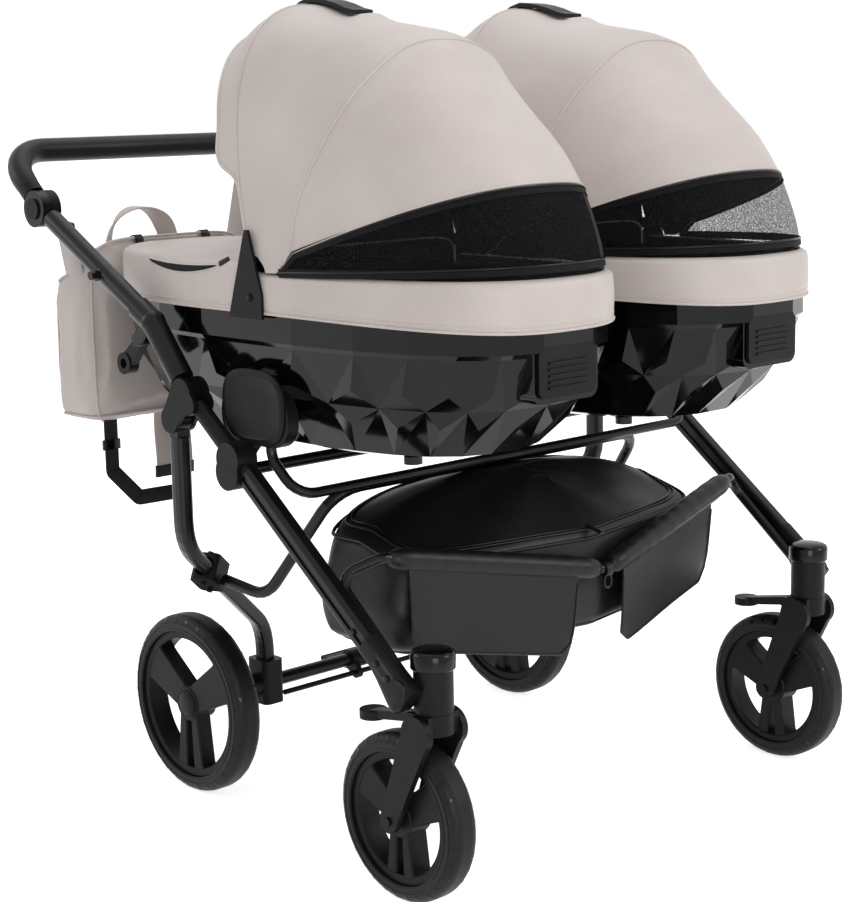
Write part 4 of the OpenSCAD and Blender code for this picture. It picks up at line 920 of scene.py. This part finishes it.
def bag_point(deg, u):
    """Bag wall at an angle, from its floor (0) to its top edge (1)."""
    qx, qy = superellipse(deg, 9)
    k = smooth_table(BAG_SIDE, u)
    p = Vector((BAG_HALF_X * k * qx, BAG_HALF_Y * k * qy, bag_height(qx, qy) * u))
    p.x -= 11 * k * max(0.0, -qx)
    hollow = math.sin(math.pi * u)
    if abs(qx) > 0.97:
        p.x -= math.copysign(3.0 * hollow * (1 - abs(qy) ** 3), qx)
    p.y += wobble(p, 75, 2.0, 3.0)
    p.x += wobble(p, 60, 1.5, 9.0)
    return BAG + p


def bag_top(p, s):
    """The gathered top: s goes from the edge (0) to its ridge (1)."""
    q = p - BAG
    rise = 50 * (1 - 0.45 * min(1.0, abs(q.x / BAG_HALF_X)) ** 6)
    r = q.lerp(Vector((q.x * 0.985, BAG_RIDGE_Y, BAG_WALL + rise)), 0.97 * s)
    r.z += 7 * math.sin(math.pi * s) + wobble(q, 45, 1.5, 2.0) * s
    return BAG + r


def bag_loop(c):
    """Carrying loop on the ridge, which twists as it goes over."""
    loop, across = [], []
    for i in range(49):
        a = math.pi * (1 - i / 48)
        loop.append(BAG + Vector((54 * math.cos(a) - 46, BAG_RIDGE_Y, 252 + 58 * math.sin(a))))
        turn = math.radians(smooth_table([(0, 42), (24, 90), (48, 158)], i))
        across.append(Vector((math.cos(turn), math.sin(turn), 0)))
    c.ribbon(loop, across, 30, 3.4, BEIGE, 1.2)


def bag():
    b = Build("bag_body")
    n, m = 34, 128
    rows = [[bag_point(360 * j / m, i / n) for j in range(m)] for i in range(n + 1)]
    edge = rows[n]
    rows += [[bag_top(p, k / 8) for p in edge] for k in range(1, 9)]
    floor = []
    for s in (0.35, 0.8):
        floor.append([BAG + Vector(((p.x - BAG.x) * s, (p.y - BAG.y) * s, 0.0)) for p in rows[0]])
    b.grid(floor + rows, BEIGE, around=True, ends=True)
    ob = puffed(b.done(sharp=60), 4, 1.5)
    c = Build("bag_trim")
    for deg in (45, 135, 225, 315):
        c.tube([bag_point(deg, i / 40) for i in range(41)], 2.0, PIPING)
    c.tube([bag_point(360 * j / m, 0.025) for j in range(m)], 2.0, PIPING, closed=True)
    c.tube([bag_top(p, 0.05) for p in edge], 2.0, PIPING, closed=True)
    ridge = [bag_top(BAG + Vector((x, BAG_RIDGE_Y, BAG_WALL)), 1.0) for x in range(-140, 141, 7)]
    c.ribbon([p + Vector((0, 0, 0.5)) for p in ridge], Vector((0, 1, 0)), 13, 2.0, PIPING)
    c.tube([p + Vector((0, 0, 1.8)) for p in ridge], 1.3, ZIP)
    bag_loop(c)
    for x in (-62, 60):
        over = ((-36, 268), (-46, 270), (-51, 265), (-52.5, 254), (-53, 242))
        c.ribbon([BAG + Vector((x, y, z)) for y, z in over], ACROSS, 15, 2.6, BLACK)
    tail = [BAG + Vector((18, 1.5 * math.sin(k / 3), -0.3 - 109 * k / 18)) for k in range(19)]
    c.ribbon(tail, ACROSS, 68, 3, BEIGE, 1.2)
    c.ribbon(tail[-4:], ACROSS, 72, 5, BLACK, 1.2)
    joined(ob, c.done(sharp=60))
    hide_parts("changing_bag")
    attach(ob, "push_frame")
    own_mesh(ob)


def near_strap():
    """Strap from the bag's near end to the push tube, and the web that hangs under the bag."""
    b = Build("bag_strap_near")
    near = BAG + Vector((-152, -12, 214))
    hook = Vector((-394, 171 + AXLE_Y, 820))
    path = [near.lerp(hook, k / 16) for k in range(17)]
    across = Vector((0.2, 1, -0.6))
    b.ribbon(path, across, 30, 3, BEIGE)
    b.ribbon(path[13:], across, 32, 5, WEB)
    web = [BAG + Vector(v) for v in ((-96, 0, -0.3), (-96, 0, -88), (-50, 0, -136), (18, 0, -137))]
    path = refined(rounded_path(web, 8, 6), 8)
    wide = [axes[0].cross(Vector((0, 1, 0))) for axes in frames_along(path)[1]]
    b.ribbon(path, wide, 24, 2.6, WEB)
    b.ribbon(path[5:8], ACROSS, 30, 6, GLOSS)
    ob = b.done(sharp=50)
    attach(ob, "push_frame")
    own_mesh(ob)


def far_strap():
    """Strap from the bag's ridge to the handle bar, short of it by the bar's cover."""
    b = Build("bag_strap_far")
    far = BAG + Vector((128, BAG_RIDGE_Y, 236))
    bar = Vector((32, BAR_Y, BAR_Z))
    end = bar - (bar - far).normalized() * 20.5
    path = [far.lerp(end, k / 16) for k in range(17)]
    b.ribbon(path, ACROSS, 28, 3, BEIGE)
    b.ribbon(path[13:], ACROSS, 30, 5, WEB)
    ob = b.done(sharp=50)
    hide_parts("bag_straps")
    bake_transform(ob)


# Fittings that stand on the frame


TREAD_COUNT = 30
CAP = [(21, 0), (21, 1.6), (19.5, 2.4), (18.5, 1.6), (17.5, 2.6), (8, 3.6), (0.5, 3.8)]
SPOKE_BACK = {"rear": 9, "front": 16}


def wheel_trim(place, word, side):
    """Ridges and tread marks of a tyre, and the hub cap of a rear wheel."""
    b = Build(place + "_trim_" + word)
    x, y, radius = WHEELS[place]
    c = Vector((side * x, y, radius))

    def at(r, a, off):
        return c + Vector((off, r * math.cos(a), r * math.sin(a)))

    turns = [2 * math.pi * k / 72 for k in range(72)]
    for face in (-1, 1):
        for r, off in ((radius - 20.5, TYRE_HALF), (radius - 12.5, TYRE_HALF - 0.1)):
            b.tube([at(r, a, face * off) for a in turns], 0.9, RUBBER, 6, closed=True)
        for k in range(TREAD_COUNT):
            a = 2 * math.pi * (k + 0.25 * face) / TREAD_COUNT
            mark = []
            for off in (13, 15, 17, 19, 20.4):
                over = off - (TYRE_HALF - SHOULDER_R)
                r = radius - SHOULDER_R + math.sqrt(SHOULDER_R ** 2 - over ** 2)
                mark.append(at(r - 0.35, a + 0.004 * (off - 13), face * off))
            b.ribbon(mark, at(1, a + math.pi / 2, 0) - c, 4.5 if k % 2 else 7.0, 1.2, GLOSS)
    if place == "rear":
        b.lathe(c + Vector((side * (HUB_HALF - 0.5), 0, 0)), (side, 0, 0), CAP, PLASTIC, 36)
    ob = b.done(sharp=40)
    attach(ob, place + "_wheel_" + word)


def wheel_rim(place, word, side):
    """Moulded wheel: ring, hub and three broad spokes close to its face, the lower one split."""
    b = Build(place + "_moulding_" + word)
    x, y, radius = WHEELS[place]
    c = Vector((side * x, y, radius))
    outer = radius - TYRE_DEPTH
    inner = outer - RIM_DEPTH
    face = RIM_HALF
    ring = [(inner, 2 - face), (inner, face - 2), (inner + 2, face), (outer - 1, face),
            (outer, face - 1), (outer, 1 - face), (outer - 1, -face), (inner + 2, -face)]
    turns = [2 * math.pi * k / 72 for k in range(73)]
    rows = [[c + Vector((off, r * math.cos(a), r * math.sin(a))) for r, off in ring] for a in turns]
    b.grid(rows, PLASTIC, around=True)
    cut = 1.5
    hub = [(HUB_R - cut, -HUB_HALF), (HUB_R, cut - HUB_HALF), (HUB_R, HUB_HALF - cut),
           (HUB_R - cut, HUB_HALF)]
    b.lathe(c, (1, 0, 0), hub, PLASTIC, 40)
    x0, x1 = sorted((side * (face - 1), -side * SPOKE_BACK[place]))
    for i in range(3):
        a = math.radians(120 * i - 90)
        out = Vector((0, math.cos(a), math.sin(a)))
        across = Vector((0, -math.sin(a), math.cos(a)))
        for low, high in ((-1, 1),) if i else ((-1, -0.26), (0.26, 1)):
            rows = []
            for k in range(13):
                u = k / 12
                half = mix(0.155, 0.232, u) * radius + 4 * ease(0.8, 1.0, u) ** 2
                mid = c + out * mix(14, inner + 3, u)
                section = bevelled(half * low, half * high, x0, x1, 2)
                rows.append([mid + across * s + Vector((off, 0, 0)) for s, off in section])
            b.grid(rows, PLASTIC, around=True, ends=True, flip=True)
    ob = b.done(sharp=30)
    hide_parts(place + "_rim_" + word)
    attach(ob, place + "_wheel_" + word)


LEG_DOWN = Vector((0, -0.789, -0.614))
LEG_UNDER = Vector((0, 0.614, -0.789))
LEG_HALF_W = 11.8
LEG_HALF_H = 15.9
HOUSING_CAP = [(26.8, -19), (27.8, -18), (27.8, -1), (26, 2.6), (21, 5), (10, 6.4), (0.5, 6.8)]


def leg_feet(word, side):
    """Moulded foot of a front leg, flared on to its caster housing, with screws and the housing cap."""
    b = Build("leg_foot_" + word)
    plug = Vector((side * 410, -385.75, 284.7))
    rows = []
    for k in range(17):
        u = k / 16
        tall = LEG_HALF_H + 8.5 * ease(0.15, 1.0, u)
        wide = LEG_HALF_W + 1.8 * ease(0.4, 1.0, u)
        if u > 0.9:
            tall *= 1 - 0.25 * ((u - 0.9) / 0.1) ** 2
            wide *= 1 - 0.2 * ((u - 0.9) / 0.1) ** 2
        c = plug + LEG_DOWN * mix(-78, 16, u) + LEG_UNDER * (tall - LEG_HALF_H)
        c -= Vector((side * 2 * u, 0, 0))
        ring = []
        for j in range(32):
            qx, qy = superellipse(360 * j / 32, 4)
            ring.append(c + Vector((side * wide * qx, 0, 0)) + LEG_UNDER * (tall * qy))
        rows.append(ring)
    b.grid(rows, PLASTIC, around=True, ends=True, flip=side < 0)
    for s in (-98, -46, -22):
        b.screw(plug + LEG_DOWN * s + Vector((side * 11.6, 0, 0)), (side, 0, 0), 4.0, GLOSS, PLASTIC)
    b.lathe((side * WHEELS["front"][0], -399.75, 327), (0, 0, 1), HOUSING_CAP, GLOSS, 40)
    ob = b.done(sharp=40)
    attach(ob, "chassis")


# Share of its outline and how far it stands out, from the edge of an adapter's face to its middle
ADAPTER_FACE = ((1.0, -0.6), (1.0, 2.0), (0.97, 3.4), (0.84, 4.2), (0.8, 3.0), (0.5, 3.6), (0.05, 3.8))


def adapter_face(word, side):
    b = Build("adapter_face_" + word)
    rows = []
    for share, out in ADAPTER_FACE:
        ring = []
        for j in range(64):
            qx, qy = superellipse(360 * j / 64, 2.9)
            ring.append(Vector((side * (393.7 + out), -91.8 + 64 * share * qx, 596 + 49 * share * qy)))
        rows.append(ring)
    b.grid(rows, PLASTIC, around=True, ends=True, flip=side < 0)
    ob = b.done(sharp=35)
    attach(ob, "chassis")


def plate_screws(word, side):
    b = Build("plate_screws_" + word)
    for s in (-1, 1):
        b.screw(cot(side, (s * 194.2, HINGE_Y, 737)), (s, 0, 0), 5.2, PLASTIC, GLOSS)
    ob = b.done(sharp=40)
    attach(ob, "cot_" + word)


for word, side in SIDES.items():
    for make in (hood, rim_band, apron, mattress, plate_screws, leg_feet, adapter_face):
        make(word, side)
    for make in (wheel_trim, wheel_rim):
        for place in WHEELS:
            make(place, word, side)
rolls = [bow_cover(word, side) for word, side in SIDES.items()]
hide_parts("bow_covers")
for make in (tip_ring, basket, handle_grip, bag, near_strap, far_strap):
    make()


# Floor, light and camera


# Name, place and width in metres, and watts
LAMPS = (("key", (1.7, -3.1, 2.2), 1.4, 38), ("top", (0.6, 0.4, 3.6), 2.4, 22),
         ("fill", (-1.8, -2.8, 1.1), 1.2, 26), ("back", (-2.2, 2.4, 2.0), 1.2, 14))
AIM = Vector((0, 0, 0.6))


def shown(tree):
    """One where the ray comes from the camera or from a mirror or glass, else zero."""
    path = tree.nodes.new("ShaderNodeLightPath")
    total = path.outputs["Is Camera Ray"]
    for name in ("Is Glossy Ray", "Is Transmission Ray"):
        most = tree.nodes.new("ShaderNodeMath")
        most.operation = "MAXIMUM"
        tree.links.new(total, most.inputs[0])
        tree.links.new(path.outputs[name], most.inputs[1])
        total = most.outputs["Value"]
    return total


def pale_floor():
    me = bpy.data.meshes.new("floor")
    me.from_pydata([(-30, -30, 0), (30, -30, 0), (30, 30, 0), (-30, 30, 0)], [], [(0, 1, 2, 3)])
    floor = bpy.data.objects.new("floor", me)
    bpy.context.scene.collection.objects.link(floor)
    m = bpy.data.materials.new("pale_floor")
    m.use_nodes = True
    t = m.node_tree
    shader = t.nodes["Principled BSDF"]
    shader.inputs["Base Color"].default_value = (0.9, 0.9, 0.9, 1)
    shader.inputs["Roughness"].default_value = 0.9
    shader.inputs["Specular IOR Level"].default_value = 0.0
    shader.inputs["Emission Color"].default_value = (1, 1, 1, 1)
    lift = t.nodes.new("ShaderNodeMath")
    lift.operation = "MULTIPLY"
    lift.inputs[1].default_value = 0.75
    t.links.new(shown(t), lift.inputs[0])
    t.links.new(lift.outputs["Value"], shader.inputs["Emission Strength"])
    me.materials.append(m)


def white_world():
    """A soft dome that lights from above, and plain white behind the object."""
    world = bpy.data.worlds.new("studio")
    bpy.context.scene.world = world
    world.use_nodes = True
    t = world.node_tree
    sky = t.nodes["Background"]
    way = t.nodes.new("ShaderNodeSeparateXYZ")
    t.links.new(t.nodes.new("ShaderNodeTexCoord").outputs["Generated"], way.inputs["Vector"])
    dome = t.nodes.new("ShaderNodeMapRange")
    for key, value in (("From Min", 0.05), ("From Max", 0.8), ("To Min", 0.08), ("To Max", 0.85)):
        dome.inputs[key].default_value = value
    t.links.new(way.outputs["Z"], dome.inputs["Value"])
    level = t.nodes.new("ShaderNodeMapRange")
    level.inputs["To Max"].default_value = 1.0
    t.links.new(dome.outputs["Result"], level.inputs["To Min"])
    t.links.new(shown(t), level.inputs["Value"])
    sky.inputs["Color"].default_value = (1, 1, 1, 1)
    t.links.new(level.outputs["Result"], sky.inputs["Strength"])


def lamps():
    for name, at, size, power in LAMPS:
        lamp = bpy.data.lights.new(name, "AREA")
        lamp.size = size
        lamp.energy = power
        ob = bpy.data.objects.new(name, lamp)
        ob.location = at
        ob.rotation_euler = (AIM - Vector(at)).to_track_quat("-Z", "Y").to_euler()
        bpy.context.scene.collection.objects.link(ob)


def camera():
    """Camera at the photograph's angle: angles in radians, place in metres, focal length in pixels."""
    yaw, pitch, roll = 0.740816, 0.180605, -0.02183
    place = Vector((-1.885, -2.0414, 0.98025))
    focal, image_height = 1927.6, 902
    fwd = Vector((math.sin(yaw) * math.cos(pitch), math.cos(yaw) * math.cos(pitch), -math.sin(pitch)))
    right = Vector((math.cos(yaw), -math.sin(yaw), 0))
    up = right.cross(fwd)
    r = right * math.cos(roll) + up * math.sin(roll)
    u = up * math.cos(roll) - right * math.sin(roll)
    data = bpy.data.cameras.new("camera")
    data.sensor_fit = "VERTICAL"
    data.sensor_height = 24
    data.lens = focal * data.sensor_height / image_height
    ob = bpy.data.objects.new("camera", data)
    m = Matrix((r, u, -fwd)).transposed().to_4x4()
    m.translation = place
    ob.matrix_world = m
    bpy.context.scene.collection.objects.link(ob)
    bpy.context.scene.camera = ob


pale_floor()
white_world()
lamps()
camera()
bpy.context.scene.view_settings.view_transform = "Standard"
